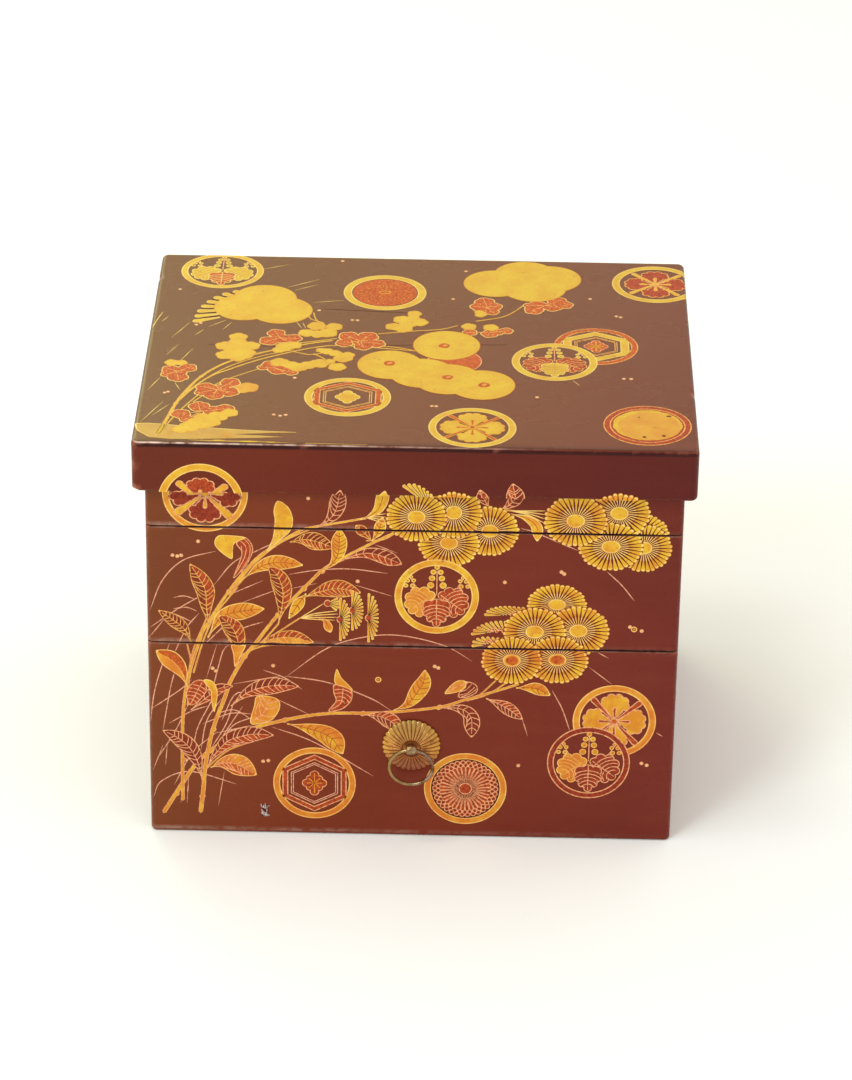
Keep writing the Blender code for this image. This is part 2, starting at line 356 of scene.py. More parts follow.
def arc_rows(inset, height, radius, start, end, corner, count):
    """Rows round an edge: the arc's middle is at (inset, height), its angles in degrees run
    from 0, straight out, to 90, straight up."""
    rows = []
    for i in range(count + 1):
        angle = math.radians(start + (end - start) * i / count)
        out = inset - radius * math.cos(angle)
        rows.append((out, height + radius * math.sin(angle), max(corner - out, 0.8)))
    return rows


def wall_rows(low, high, corner, inset=0.0, step=2.2):
    count = max(2, int(abs(high - low) / step))
    return [(inset, low + (high - low) * i / count, corner) for i in range(1, count)]


def lumpy(point, scale, seed):
    """Smooth noise from -1 to 1 that varies over about scale mm."""
    return noise.noise(Vector(point) / scale + Vector((seed, 2.7 * seed, 5.1 * seed)))


def dent(point, centre, radius, depth, seed):
    """How far a chip or a rubbed place takes a point in, with a ragged edge."""
    away = (Vector(point) - Vector(centre)).length / radius
    away += 0.25 * lumpy(point, radius * 0.4, seed)
    return depth * max(0.0, 1.0 - away * away) if away < 1.0 else 0.0


def dress_shell(name, half_x, half_y, rows, edges, chips, bare_spots, darkening, gleams):
    """A lid or tier from its rows. edges are (inset, height) of the edges that get worn, chips
    (place, radius, depth), bare_spots (place, radius). darkening, bands of painted shading,
    and gleams, fine lines of painted highlight, are (low, high, strength at the left, at the
    right). It also paints a sheen on the top and the left, and highlights on upright corners."""
    edge_reach, corner_reach, upright_reach, front_reach = 1.3, 24.0, 2.0, 6.0
    vertices, columns = rounded_rows(half_x, half_y, rows)
    middle = (min(row[1] for row in rows) + max(row[1] for row in rows)) / 2
    looks = {"wear_and_sheen": [], "bare": [], "painted_shade_and_stains": [], "painted_sheen": [], "painted_highlight": []}
    moved = []
    for index, (x, y, z) in enumerate(vertices):
        inset = rows[index // columns][0]
        near = min(math.hypot(inset - edge[0], z - edge[1]) for edge in edges)
        corner = math.hypot(half_x - abs(x), half_y - abs(y))
        rub_and_sheen = max(0.0, 1.0 - near / edge_reach)
        rub_and_sheen *= 0.06 + 0.5 * max(0.0, 1.0 - corner / corner_reach)
        # Upright corners: lighter, partly worn and partly a painted highlight, more at the left,
        # where the light falls.
        upright = max(0.0, 1.0 - corner / upright_reach) * (inset < 1.0)
        rub_and_sheen = max(rub_and_sheen, (0.3 - 0.1 * x / half_x) * upright)
        nick = max(0.0, 1.0 - near / 1.5) * max(0.0, lumpy((x, y, z), 5.0, 3) - 0.4) * 0.35
        cut = nick + sum(dent((x, y, z), *chip, seed) for seed, chip in enumerate(chips))
        toward = Vector((-x / half_x, -y / half_y, -0.6 if z > middle else 0.6))
        spot = max([0.0] + [1.0 - (Vector((x, y, z)) - Vector(place)).length / radius
                            for place, radius in bare_spots])
        moved.append(Vector((x, y, z)) + toward.normalized() * cut)
        left, front = max(0.0, -x / half_x), max(0.0, 1.0 - (half_y + y) / front_reach)
        # Painted shading from the darkening bands, and painted highlight lines from the gleams.
        dark, glint = ([first + (last - first) * (x / half_x + 1) / 2
                        for low, high, first, last in bands if low <= z <= high and inset < 2.0]
                       for bands in (darkening, gleams))
        # A painted highlight also runs down the front-left upright corner.
        glint = [front * value for value in (*glint, 0.3 * (1 - (half_x + x) / 0.9))]
        # Painted shading along the top's front edge; a painted sheen on the top, most at the back
        # left,
        # and on the walls towards the left, where the light falls, a little more on the tiers.
        if z > LID_TOP - 0.3:
            dark.append(0.75 * front ** 1.5)
            painted_sheen = 0.78 - 0.32 * x / half_x + 0.1 * y / half_y
        else:
            painted_sheen = 0.12 * left ** 2 if z > LID_RIM else 0.09 + 0.38 * left ** 2
        for look, value in (("wear_and_sheen", min(1.0, rub_and_sheen + 2.0 * nick)),
                            ("bare", min(1.0, max(2.2 * spot, 1.4 * cut))),
                            ("painted_shade_and_stains", min(1.0, max(dark, default=0.0))), ("painted_sheen", painted_sheen),
                            ("painted_highlight", max(0.0, *glint)
                             * (0.75 + 0.5 * lumpy((x, y, 0), 9.0, 11)))):
            looks[look].append(value)
    make_piece(name + "_body", moved, grid_faces(len(rows), columns), [LACQUER], "box_stack",
               node=name, smooth=32, attributes=looks)


def dress_lid():
    """From the middle of the ceiling down inside, round the rim, and up over the top."""
    ceiling = LID_TOP - LID_PLATE
    inner = WALL
    rows = [(inner + 40, ceiling, INNER_CORNER), (inner, ceiling, INNER_CORNER)]
    rows += wall_rows(ceiling, LID_RIM, INNER_CORNER, inner, 6.0)
    rows += [(inner, LID_RIM + 0.4, INNER_CORNER), (inner - 0.4, LID_RIM, INNER_CORNER)]
    rows += arc_rows(RIM_EDGE, LID_RIM + RIM_EDGE, RIM_EDGE, -90, 0, LID_CORNER, 6)
    rows += wall_rows(LID_RIM + RIM_EDGE, LID_TOP - LID_EDGE, LID_CORNER)
    rows.append((0.0, LID_TOP - LID_EDGE - 0.8, LID_CORNER))
    rows += arc_rows(LID_EDGE, LID_TOP - LID_EDGE, LID_EDGE, 0, 90, LID_CORNER, 7)
    rows += [(inset, LID_TOP, 1.2) for inset in (2.6, 3.6, 5.0, 7.0, 12.0, 30.0, 60.0)]
    x, y = LID_HIGH.x, LID_HIGH.y
    edges = [(0.5, LID_TOP - 0.5), (0.6, LID_RIM + 0.6)]
    chips = [((-x, -y, LID_RIM), 3.4, 0.8), ((-x, -y, LID_TOP), 3.6, 0.7),
             ((-x, -y, 199.0), 4.0, 0.3), ((x, -44.0, LID_TOP), 3.0, 0.5),
             ((-x, 77.0, LID_TOP), 3.0, 0.5), ((37.0, -y, LID_TOP), 2.2, 0.5),
             ((-51.0, -y, LID_TOP), 2.4, 0.3), ((x, y, LID_RIM), 4.0, 0.8)]
    bare_spots = [((-x, -y, LID_TOP), 3.0), ((-x + 1.2, -y, LID_RIM + 1.6), 3.0),
                  ((-x, -y, 199.0), 2.4)]
    # Painted shading: the skirt a little darker, and a near-black band under the top's rounded edge.
    darkening = [(LID_RIM, LID_TOP - 1.8, 0.36, 0.4), (LID_TOP - 1.8, LID_TOP - 0.5, 1.0, 0.9)]
    # Painted highlights at the front: a pale line along the top edge, bright at the left, gone at the
    # right, and a faint one along the rim.
    gleams = [(LID_TOP - 0.5, LID_TOP - 0.15, 1.3, -0.4), (LID_RIM, LID_RIM + 0.2, 0.3, 0.05)]
    dress_shell("lid", x, y, rows, edges, chips, bare_spots, darkening, gleams)


def dress_tray(name, low, high, floor, foot):
    """A tray whose floor is also its foot, or the bottom box where foot is 0."""
    x, y = BASE_HIGH.x, BASE_HIGH.y
    inset = WALL + FOOT_PLAY
    rows = []
    if foot:
        rows += [(inset + 40, low - foot, INNER_CORNER), (inset, low - foot, INNER_CORNER),
                 (inset, low, INNER_CORNER)]
        rows += arc_rows(SEAM_EDGE, low + SEAM_EDGE, SEAM_EDGE, -90, 0, TIER_CORNER, 3)
        start = low + SEAM_EDGE
    else:
        rows += [(20.0, low, 1.2), (4.0, low, 1.2)]
        rows += arc_rows(BASE_EDGE, low + BASE_EDGE, BASE_EDGE, -90, 0, TIER_CORNER, 6)
        start = low + BASE_EDGE
    rows.append((0.0, start + 0.5, TIER_CORNER))
    rows += wall_rows(start, high - SEAM_EDGE, TIER_CORNER)
    rows.append((0.0, high - SEAM_EDGE - 0.3, TIER_CORNER))
    rows += arc_rows(SEAM_EDGE, high - SEAM_EDGE, SEAM_EDGE, 0, 90, TIER_CORNER, 3)
    rows += [(WALL - 0.3, high, INNER_CORNER), (WALL, high - 0.3, INNER_CORNER)]
    rows += wall_rows(high, floor, INNER_CORNER, WALL, 8.0)
    rows += [(WALL, floor, INNER_CORNER), (WALL + 40, floor, INNER_CORNER)]
    edges = [(0.3, high - 0.3), (0.3, low + 0.3)]
    chips = [((-x, -y, high), 2.5, 0.45), ((x, -y, high), 2.2, 0.35), ((-x, -y, low), 2.2, 0.4)]
    bare_spots = [((-x, -y, high - 1.5), 2.0)]
    # Painted shading along the seams, darker to the right.
    darkening = [(high - 0.3, high, 0.6, 1.3)]
    if foot:
        darkening += [(low, low + 0.35, 0.9, 1.0), (low + 0.35, start + 0.1, -0.2, 1.0)]
    # Painted highlights at the front: a faint line on the top edge, and one just above the lower
    # edge at the left.
    gleams = [(high - SEAM_EDGE, high - 0.22, 0.16, 0.12), (start, start + 0.6, 0.22, 0.0)]
    dress_shell(name, x, y, rows, edges, chips, bare_spots, darkening, gleams)


# ---- the decoration's canvases ------------------------------------------------------------
def extent(shapes):
    points = np.vstack(shapes)
    return (*points.min(0), *points.max(0))


def apart(a, b):
    """Whether two extents don't meet."""
    return a[0] > b[2] or b[0] > a[2] or a[1] > b[3] or b[1] > a[3]


def leftward(shape):
    """Whether an outline runs anticlockwise."""
    x, y = np.asarray(shape).T
    return float(np.dot(x, np.roll(y, -1)) - np.dot(y, np.roll(x, -1))) > 0


def panel(solid, strips, place):
    """The part of one solid's surface that a canvas crosses, in strips that are flat enough
    to carry flat triangles. place(u, v, out) is a point on it in the row frame."""
    outlines = [np.array([(low_u, low_v), (high_u, low_v), (high_u, high_v), (low_u, high_v)])
                for low_u, high_u, low_v, high_v in strips]
    return solid, place, [(outline, extent([outline])) for outline in outlines]


SHEETS = {}                          # (solid, group): [vertices, faces, paints]
TIERS = ("upper_tray", "middle_tray", "bottom_box")


class Canvas:
    """One decorated face. What is painted first lies in front, and hides what comes later."""

    def __init__(self, panels):
        self.panels, self.masks = panels, []

    def hide(self, *shapes):
        self.masks += [(shape, extent([shape])) for shape in shapes]

    def paint(self, paint, shapes, layer=0, holes=(), only=None, within=()):
        """Lays the shapes' union, or the part of it within other outlines, on every panel
        it crosses, less the holes and the masks."""
        area = extent(within or shapes)
        cuts = [shape for shape, size in self.masks if not apart(size, area)] + list(holes)
        for solid, place, strips in self.panels:
            strips = [shape for shape, size in strips if not apart(size, area)]
            if not strips or (only and solid not in only):
                continue
            points, polygons = [], []
            for shape in (*shapes, *strips, *cuts, *within):
                polygons.append(list(range(len(points), len(points) + len(shape))))
                points += [Vector(p) for p in (shape if leftward(shape) else shape[::-1])]
            found = delaunay_2d_cdt(points, [], polygons, 1, 1e-4)
            first = len(shapes)
            last = first + len(strips)
            inside = last + len(cuts)
            kept = [face for face, source in zip(found[2], found[5])
                    if source and min(source) < first
                    and any(first <= i < last for i in source)
                    and not any(last <= i < inside for i in source)
                    and (not within or max(source) >= inside)]
            if kept:
                add_slab(solid, place, paint, found[0], kept, RELIEF + LAYER * layer)


def add_slab(solid, place, paint, points, triangles, out):
    """A closed slab over the triangles, from just inside the lacquer up to out."""
    group = "red" if paint in RED_GROUP else "gold"
    vertices, faces, paints = SHEETS.setdefault((solid, group), [[], [], []])
    used = sorted({i for face in triangles for i in face})
    top = {i: len(vertices) + k for k, i in enumerate(used)}
    under = {i: index + len(used) for i, index in top.items()}
    for height in (out, -0.05):
        vertices += [place(points[i].x, points[i].y, height) for i in used]
    edges = set()
    for face in triangles:
        a, b, c = (points[i] for i in face)
        if (b - a).cross(c - a) < 0:
            face = face[::-1]
        faces.append(tuple(top[i] for i in face))
        faces.append(tuple(under[i] for i in face[::-1]))
        edges.update(zip(face, (*face[1:], face[0])))
    sides = [(a, b) for a, b in edges if (b, a) not in edges]
    faces += [(under[a], under[b], top[b], top[a]) for a, b in sides]
    paints += [paint] * (2 * len(triangles) + len(sides))


def belt_panel(solid, belt, side, low, high):
    """Strips of a side between two heights, with a few round each corner."""
    flat, bends = belt.flat(side), 5
    strips = [(-flat, flat, low, high)]
    for i in range(bends):
        near, far = (flat + belt.turn * k / bends for k in (i, i + 1))
        strips += [(near, far, low, high), (-far, -near, low, high)]
    return panel(solid, strips, lambda u, v, out: (*belt.point(side, u, out), v))


LID_BELT = Belt(LID_HIGH.x, LID_HIGH.y, LID_CORNER)
TIER_BELT = Belt(BASE_HIGH.x, BASE_HIGH.y, TIER_CORNER)


def side_canvas(side):
    return Canvas([
        belt_panel("lid", LID_BELT, side, LID_RIM + 0.3, LID_TOP - LID_EDGE),
        belt_panel("upper_tray", TIER_BELT, side, UPPER_SEAM + 0.6, LID_RIM - 0.5),
        belt_panel("middle_tray", TIER_BELT, side, LOWER_SEAM + 0.6, UPPER_SEAM - 0.6),
        belt_panel("bottom_box", TIER_BELT, side, BASE_EDGE, LOWER_SEAM - 0.6)])


def place_on_top(x, y, out):
    """A place on the lid's top, which rolls over the rounded edge at its sides."""
    point = [x, y]
    for axis, half in enumerate((LID_HIGH.x, LID_HIGH.y)):
        over = abs(point[axis]) - (half - LID_EDGE)
        if over > 0:
            angle = over / LID_EDGE
            reach = half - LID_EDGE + (LID_EDGE + out) * math.sin(angle)
            point[axis] = math.copysign(reach, point[axis])
            return (*point, LID_TOP - LID_EDGE + (LID_EDGE + out) * math.cos(angle))
    return x, y, LID_TOP + out


def top_canvas():
    flat_x, flat_y, bends = LID_HIGH.x - LID_EDGE, LID_HIGH.y - LID_EDGE, 3
    strips = [(-flat_x, flat_x, -flat_y, flat_y)]
    for i in range(bends):
        near, far = (LID_EDGE * 0.9 * k / bends for k in (i, i + 1))
        strips += [(flat_x + near, flat_x + far, -flat_y, flat_y),
                   (-flat_x - far, -flat_x - near, -flat_y, flat_y),
                   (-flat_x, flat_x, flat_y + near, flat_y + far),
                   (-flat_x, flat_x, -flat_y - far, -flat_y - near)]
    return Canvas([panel("lid", strips, place_on_top)])


def lay_decoration():
    """Turns what was painted into one gold and one red piece on each solid."""
    for (solid, group), (vertices, faces, paints) in sorted(SHEETS.items()):
        names = sorted(set(paints))
        make_piece(f"{solid}_{group}_decoration", vertices, faces,
                   [PAINTS[name] for name in names], "box_stack",
                   indices=[names.index(p) for p in paints])


# ---- outlines -----------------------------------------------------------------------------
def oval(x, y, rx, ry=None, turn=0.0, count=40):
    angle = np.linspace(0.0, math.tau, count, endpoint=False)
    ry = rx if ry is None else ry
    c, s, t = np.cos(angle) * rx, np.sin(angle) * ry, math.radians(turn)
    return np.stack([x + c * math.cos(t) - s * math.sin(t),
                     y + c * math.sin(t) + s * math.cos(t)], 1)


def ragged(shape, amount, seed, scale=2.5):
    """The outline with a worn, uneven edge."""
    middle = shape.mean(0)
    worn = [middle + (p - middle) * (1 + amount * lumpy((*p, 0.0), scale, seed)) for p in shape]
    return np.array(worn)


def curve(points, step=1.6, loop=False):
    """A curve through the points, sampled about every step mm, closed if loop. Points are
    pairs, or x, y, x, y and so on."""
    p = np.reshape(points, (-1, 2)).astype(float)
    if loop:
        q = np.vstack([p[-1:], p, p[:2]])
    else:
        q = np.vstack([2 * p[0] - p[1], p, 2 * p[-1] - p[-2]])
    found = []
    for a, b, c, d in zip(q, q[1:], q[2:], q[3:]):
        count = max(2, int(np.linalg.norm(c - b) / step)) if len(p) > 2 else 2
        t = (np.arange(count) / count)[:, None]
        found.append(0.5 * (2 * b + (c - a) * t + (2 * a - 5 * b + 4 * c - d) * t ** 2
                            + (3 * b - a - 3 * c + d) * t ** 3))
    return np.vstack(found if loop else found + [p[-1:]])


def headings(path):
    ahead = np.gradient(path, axis=0)
    return ahead / np.linalg.norm(ahead, axis=1)[:, None]


def leftwards(heading):
    """The directions a quarter turn to the left of some headings."""
    return np.stack([-heading[:, 1], heading[:, 0]], 1)


def shrunk(edge, distance):
    """A smooth closed outline, moved in, without the loops this makes in sharp corners."""
    edge = edge if leftward(edge) else edge[::-1]
    ahead = np.roll(edge, -1, 0) - np.roll(edge, 1, 0)
    moved = edge + leftwards(ahead / np.linalg.norm(ahead, axis=1)[:, None]) * distance
    step = np.roll(edge, -1, 0) - edge
    away = moved[:, None] - edge
    share = np.clip((away * step).sum(2) / (step ** 2).sum(1), 0, 1)
    gap = np.linalg.norm(away - share[..., None] * step, axis=2).min(1)
    return moved[gap > 0.9 * distance]


def ribbon(points, start, end=None, taper=0.0):
    """The outline of a brush stroke. Its width runs from start to end, and taper is the
    share of its length that thins out at each end."""
    path = curve(points)
    heading = headings(path)
    side = leftwards(heading)
    share = np.linspace(0.0, 1.0, len(path))
    half = 0.5 * (start + ((start if end is None else end) - start) * share)
    if taper:
        half = half * np.minimum(1.0, np.minimum(share, 1 - share) / taper + 0.2)
    half = half[:, None]
    left, right = path + side * half, path - side * half
    return np.vstack([left, path[-1:] + heading[-1:] * half[-1],
                      right[::-1], path[:1] - heading[:1] * half[0]])


def turned(shape, x, y, degrees=0.0, scale=1.0):
    """A shape drawn round (0, 0), turned and set at (x, y)."""
    t = math.radians(degrees)
    turn = np.array([[math.cos(t), math.sin(t)], [-math.sin(t), math.cos(t)]])
    return np.asarray(shape, float) * scale @ turn + (x, y)


def around(x, y, count, *shapes, shift=0.0):
    """Copies of a shape, or of some shapes by turns, set evenly round (x, y)."""
    return [turned(shapes[k % len(shapes)], x, y, 360 / count * (k + shift))
            for k in range(count)]


# ---- motifs -------------------------------------------------------------------------------
def blob(canvas, lobes, fill, line, border, hide=True):
    """Round lobes (x, y, radius) run together, with a fine border."""
    canvas.paint(line, [oval(*lobe) for lobe in lobes])
    canvas.paint(fill, [oval(x, y, r - border) for x, y, r in lobes], 1)
    if hide:
        canvas.hide(*[oval(*lobe) for lobe in lobes])


def ribs(spine, reach, pairs):
    """A midrib along a spine, and pairs of side veins that bend forward from it."""
    path = curve(spine, 1.0)
    heading = headings(path)
    side = leftwards(heading)
    veins = [path[:int(0.95 * len(path))]]
    for share in np.linspace(0.2, 0.84, pairs):
        i = int(share * (len(path) - 1))
        for way in (1, -1):
            veins.append([path[i], path[i] + reach * (0.6 * way * side[i] + 0.42 * heading[i]),
                          path[i] + reach * (1.05 * way * side[i] + 1.1 * heading[i])])
    return veins


def leaf(canvas, spine, width, fill, other, widest=0.62, pairs=6, ink="rose"):
    """A pointed leaf along its spine, stalk end first, in a fine outline. fill colours its
    left half and other its right one."""
    path = curve(spine, 1.0)
    side = leftwards(headings(path))
    share = np.linspace(0.0, 1.0, len(path))[:, None]
    low = np.sin(math.pi / 2 * np.clip(share / widest, 0, 1)) ** 1.5
    high = np.sin(math.pi / 2 * np.clip((1 - share) / (1 - widest), 0, 1)) ** 0.8
    half = np.maximum(width / 2 * np.where(share < widest, low, high), 0.35)
    edge = np.vstack([path + side * half, (path - side * half)[::-1]])
    thin = np.maximum(half - 0.48, 0.08)
    left, right = ((path + way * side * thin)[1:-1] for way in (1, -1))
    canvas.paint(ink if fill in RED_GROUP else "pale", [edge])
    canvas.paint(fill, [np.vstack([path[1:-1], left[::-1]])], 1)
    canvas.paint(other, [np.vstack([path[1:-1], right[::-1]])], 1)
    veins = ribs(spine, width / 2, pairs) if pairs else [path[:int(0.8 * len(path))]]
    canvas.paint(ink, [ribbon(vein, 0.44, 0.3) for vein in veins], 2,
                 within=[np.vstack([left, right[::-1]])])
    canvas.hide(edge)


def plate(canvas, outline, fill, veins=()):
    """A leaf, or one face of a folded leaf, inside its own outline, with its veins."""
    edge = curve(outline, 1.2, True)
    inner = shrunk(edge, 0.46)
    canvas.paint("rose" if fill in RED_GROUP else "pale", [edge])
    canvas.paint(fill, [inner], 1)
    if veins:
        canvas.paint("rose", [ribbon(vein, 0.44, 0.3) for vein in veins], 2, within=[inner])
    canvas.hide(edge)


def petal(inner, outer, root, broad):
    """A petal along +X from inner to outer, root and broad wide at its two ends."""
    cap = [(outer - broad / 2 + broad / 2 * math.sin(a), -broad / 2 * math.cos(a))
           for a in np.linspace(0.0, math.pi, 7)]
    return np.array([(inner, root / 2), (inner, -root / 2), *cap])


def squeeze(shape, x, y, rx, ry):
    """From a round flower of radius 1 to an oval one at (x, y)."""
    return np.asarray(shape) * (rx, ry) + (x, y)


def chrysanthemum(canvas, x, y, rx, ry, heart="gold", body="gold"):
    """A many-petalled flower from above: slender petals round a dark gap and a domed heart.
    The petals above its middle are of body on the lowest box and amber on the lid."""
    count = 34
    pitch = math.tau / count
    high, low, tips, roots = [], [], [], []
    for k in range(count):
        angle = math.degrees(pitch) * (k + 0.5)
        long = 1.0 - 0.035 * (k % 3 == 1)
        for group, shape in ((high if angle < 190 else low, petal(0.54, long, 0.03, 0.82 * pitch)),
                             (tips, petal(long - 0.085, long - 0.012, 0.09, 0.6 * pitch)),
                             (roots, petal(0.26, 0.6, 0.018, 0.04))):
            group.append(squeeze(turned(shape, 0, 0, angle), x, y, rx, ry))
    for solids, paint in ((("lid",), "amber"), (TIERS[:2], "gold"), (TIERS[2:], body)):
        canvas.paint("pale", roots, 0, only=solids)
        canvas.paint(paint, high, 1, only=solids)
        canvas.paint("gold", low, 1, only=solids)
        canvas.paint("pale", tips, 2, only=solids)
    canvas.paint("pale", [oval(x, y, 0.285 * rx, 0.255 * ry)], 1)
    canvas.paint("gold" if heart == "gold" else "amber", [oval(x, y, 0.25 * rx, 0.22 * ry)], 2)
    if heart != "gold":
        canvas.paint(heart, [ragged(oval(x, y, 0.2 * rx, 0.17 * ry), 0.15, x)], 3)
    canvas.hide(oval(x, y, rx * 0.985, ry * 0.985, count=68))


def along(points, count):
    """Places spread evenly along a curve."""
    path = curve(points, 0.5)
    gone = np.append(0.0, np.cumsum(np.linalg.norm(np.diff(path, axis=0), axis=1)))
    share = np.linspace(0.0, gone[-1], count)
    return np.stack([np.interp(share, gone, path[:, 0]), np.interp(share, gone, path[:, 1])], 1)


def fan(canvas, roots, tips, count, width, clear=0.0):
    """Slender petals with pale edges, from a point or a curve out to another curve."""
    roots = np.reshape(roots, (-1, 2))
    starts = along(roots, count) if len(roots) > 1 else np.repeat(roots, count, axis=0)
    ends, bodies, cores = along(tips, count), [], []
    gaps = [ribbon([root, root + 0.9 * (tip - root)], 0.3)
            for root, tip in zip((starts[1:] + starts[:-1]) / 2, (ends[1:] + ends[:-1]) / 2)]
    canvas.paint("dark", gaps, 2, within=[turned(oval(0, 0, 99), *starts[0])])
    for root, tip in zip(starts, ends):
        way = tip - root
        long, turn = float(np.linalg.norm(way)), math.degrees(math.atan2(way[1], way[0]))
        bodies.append(turned(petal(clear, long, 0.3 * width, width), *root, turn))
        cores.append(turned(petal(clear + 1.0, long - 0.4, 0.15, width - 0.55), *root, turn))
    canvas.paint("pale", bodies)
    canvas.paint("gold", cores, 1)
    canvas.hide(*bodies)


def side_flower(canvas, x, y, ahead, across, heading=0.0, petals=13, sweep=172.0):
    """A flower seen from the side: petals from its red calyx to half an oval, which reaches
    ahead mm towards heading and across mm to each side."""
    canvas.paint("rose", [turned(oval(0.2, 0, 1.7, 1.9), x, y, heading)], 2)
    canvas.paint("red", [turned(oval(0.2, 0, 1.2, 1.4), x, y, heading)], 3)
    angle = np.radians(np.linspace(-sweep / 2, sweep / 2, 13))
    rim = np.stack([ahead * np.cos(angle), across * np.sin(angle)], 1)
    fan(canvas, (x, y), turned(rim, x, y, heading), petals, 1.25, 1.4)


def stem(canvas, points, start, end, knots=(), line="rose"):
    """A stalk: a gold stroke between two fine paler lines, swollen at its knots."""
    knots = np.reshape(knots, (-1, 2))
    whole = [ribbon(points, start, end)]
    whole += [oval(*place, 0.72 * start, 0.6 * start, 40, 14) for place in knots]
    core = [ribbon(points, start * 0.66, end * 0.6)]
    core += [oval(*place, 0.5 * start, 0.4 * start, 40, 14) for place in knots]
    canvas.paint(line, whole)
    canvas.paint("gold", core, 1)
    canvas.hide(*whole)


def grass(canvas, points, width=0.5, paint="blush"):
    blade = ribbon(points, width, taper=0.2)
    canvas.paint(paint, [blade])
    canvas.hide(blade)


def dots(canvas, places):
    """Dew drops."""
    radius = 0.95
    for x, y in np.reshape(places, (-1, 2)):
        canvas.paint("blush", [oval(x, y, radius, count=14)])
        canvas.paint("pale", [oval(x, y, 0.62 * radius, count=12)], 1)
        canvas.hide(oval(x, y, radius, count=14))


def ringed_dot(canvas, x, y):
    canvas.paint("pale", [oval(x, y, 1.5, count=18)], 0, [oval(x, y, 0.95, count=16)])
    canvas.paint("amber", [oval(x, y, 0.6, count=12)])


def stipple(canvas, lobes, paint, count, seed, size):
    """Loose dots of about this size over some round lobes."""
    chance = random.Random(seed)
    spots = []
    for x, y, r in lobes:
        for _ in range(count):
            turn, out = chance.uniform(0.0, math.tau), r * math.sqrt(chance.random()) - 0.6
            spots.append(oval(x + out * math.cos(turn), y + out * math.sin(turn),
                              size * chance.uniform(0.7, 1.3), count=7))
    canvas.paint(paint, spots, 2)


def crest_ring(canvas, x, y, radius, band, fill, line="pale", only=None):
    """The round frame of a crest, which comes last, because it hides what is behind."""
    for thin, paint, layer in ((0, line, 0), (0.55, fill, 1)):
        canvas.paint(paint, [oval(x, y, radius - thin, count=96)], layer,
                     [oval(x, y, radius - band + thin, count=96)], only)
    if not only:
        canvas.hide(oval(x, y, radius, count=96))


def curved_veins(x, y, radii, heading, spread):
    """Arcs of circles round (x, y), spread degrees to each side of heading."""
    a = np.radians(np.linspace(heading - spread, heading + spread, 9))
    return [np.stack([x + r * np.cos(a), y + r * np.sin(a)], 1) for r in radii]


# x, y and radius of the lobes of a middle and of a left leaf, and of the left blossoms
MIDDLE_LEAF = (0, -4.4, 3.4, -3.6, -4.8, 3, 3.6, -4.8, 3, -4.2, -8.3, 2.5, 4.2, -8.3, 2.5,
               0, -8, 4.4, -2.7, -11.6, 2.1, 2.7, -11.6, 2.1, 0, -11.2, 3.2, 0, -14.2, 2)
SIDE_LEAF = (-7.6, -3, 5.8, -12.4, -0.4, 2.5, -12.8, -4.2, 2.4, -11.2, -7.4, 2.2,
             -8, -9, 2.1, -4.8, -8, 2, -9.8, 2.4, 2.5, -5.8, 2.6, 2.6, -2.9, 0.6, 2.4)
MIDDLE_SPRAY = ((0, 15.6, 1.3), (-1.7, 13, 1.35), (1.7, 13, 1.35), (-2.3, 9.7, 1.5),
                (2.3, 9.7, 1.5), (-2.9, 6, 1.65), (2.9, 6, 1.65))
SIDE_SPRAY = ((12, 10.2, 0.9), (13.6, 8.3, 1.05), (10.8, 8.4, 1.05), (14.4, 5.7, 1.1),
              (11.3, 5.6, 1.15))


def paulownia(canvas, x, y, size, left, middle, right, line="rose", ink="umber"):
    """Three broad leaves under three upright sprays of blossom. size is the crest's radius,
    line and ink draw the veins of the red and of the gold leaves."""
    s = size / CREST

    def at(*points):
        return np.reshape(points, (-1, 2)) * s + (x, y)

    for lobes, fill, flip, tip, root, heading in (
            (MIDDLE_LEAF, middle, 1, (0, -15.2), (0, -1.4), 90),
            (SIDE_LEAF, left, 1, (-12.2, -7.2), (-2, 0.8), 38),
            (SIDE_LEAF, right, -1, (12.2, -7.2), (2, 0.8), 142)):
        drawn = np.reshape(lobes, (-1, 3)) * (flip, 1, 1) * s + (x, y, 0)
        veins = [ribbon(at(root, tip), 0.5, 0.35)]
        veins += [ribbon(at(vein), 0.42)
                  for vein in curved_veins(*tip, (3.4, 5.3, 7.2, 9, 10.8), heading, 68)]
        whole = [oval(*lobe, count=24) for lobe in drawn]
        canvas.paint(line if fill in RED_GROUP else "pale", whole)
        canvas.paint(fill, [oval(px, py, r - 0.45, count=24) for px, py, r in drawn], 1)
        canvas.paint(line if fill in RED_GROUP else ink, veins, 2,
                     within=[oval(px, py, r - 0.3, count=20) for px, py, r in drawn])
        canvas.hide(*whole)
    sprays = [*MIDDLE_SPRAY, *((way * px, py, r) for way in (1, -1) for px, py, r in SIDE_SPRAY)]
    stalks = [ribbon(at((0, 1), (0, 14.5)), 0.5)]
    stalks += [ribbon(at((way * 8.6, 3.4), (way * 12.4, 9.6)), 0.4) for way in (1, -1)]
    canvas.paint("rose", stalks)
    for thin, paint, count, layer in ((0, "pale", 14, 1), (0.35, "gold", 12, 2)):
        canvas.paint(paint, [oval(x + s * px, y + s * py, (r - thin) * s, count=count)
                             for px, py, r in sprays], layer)
    canvas.paint("umber", [oval(x + s * px, y + s * py, 0.3 * s, count=7)
                           for px, py, r in sprays], 3)


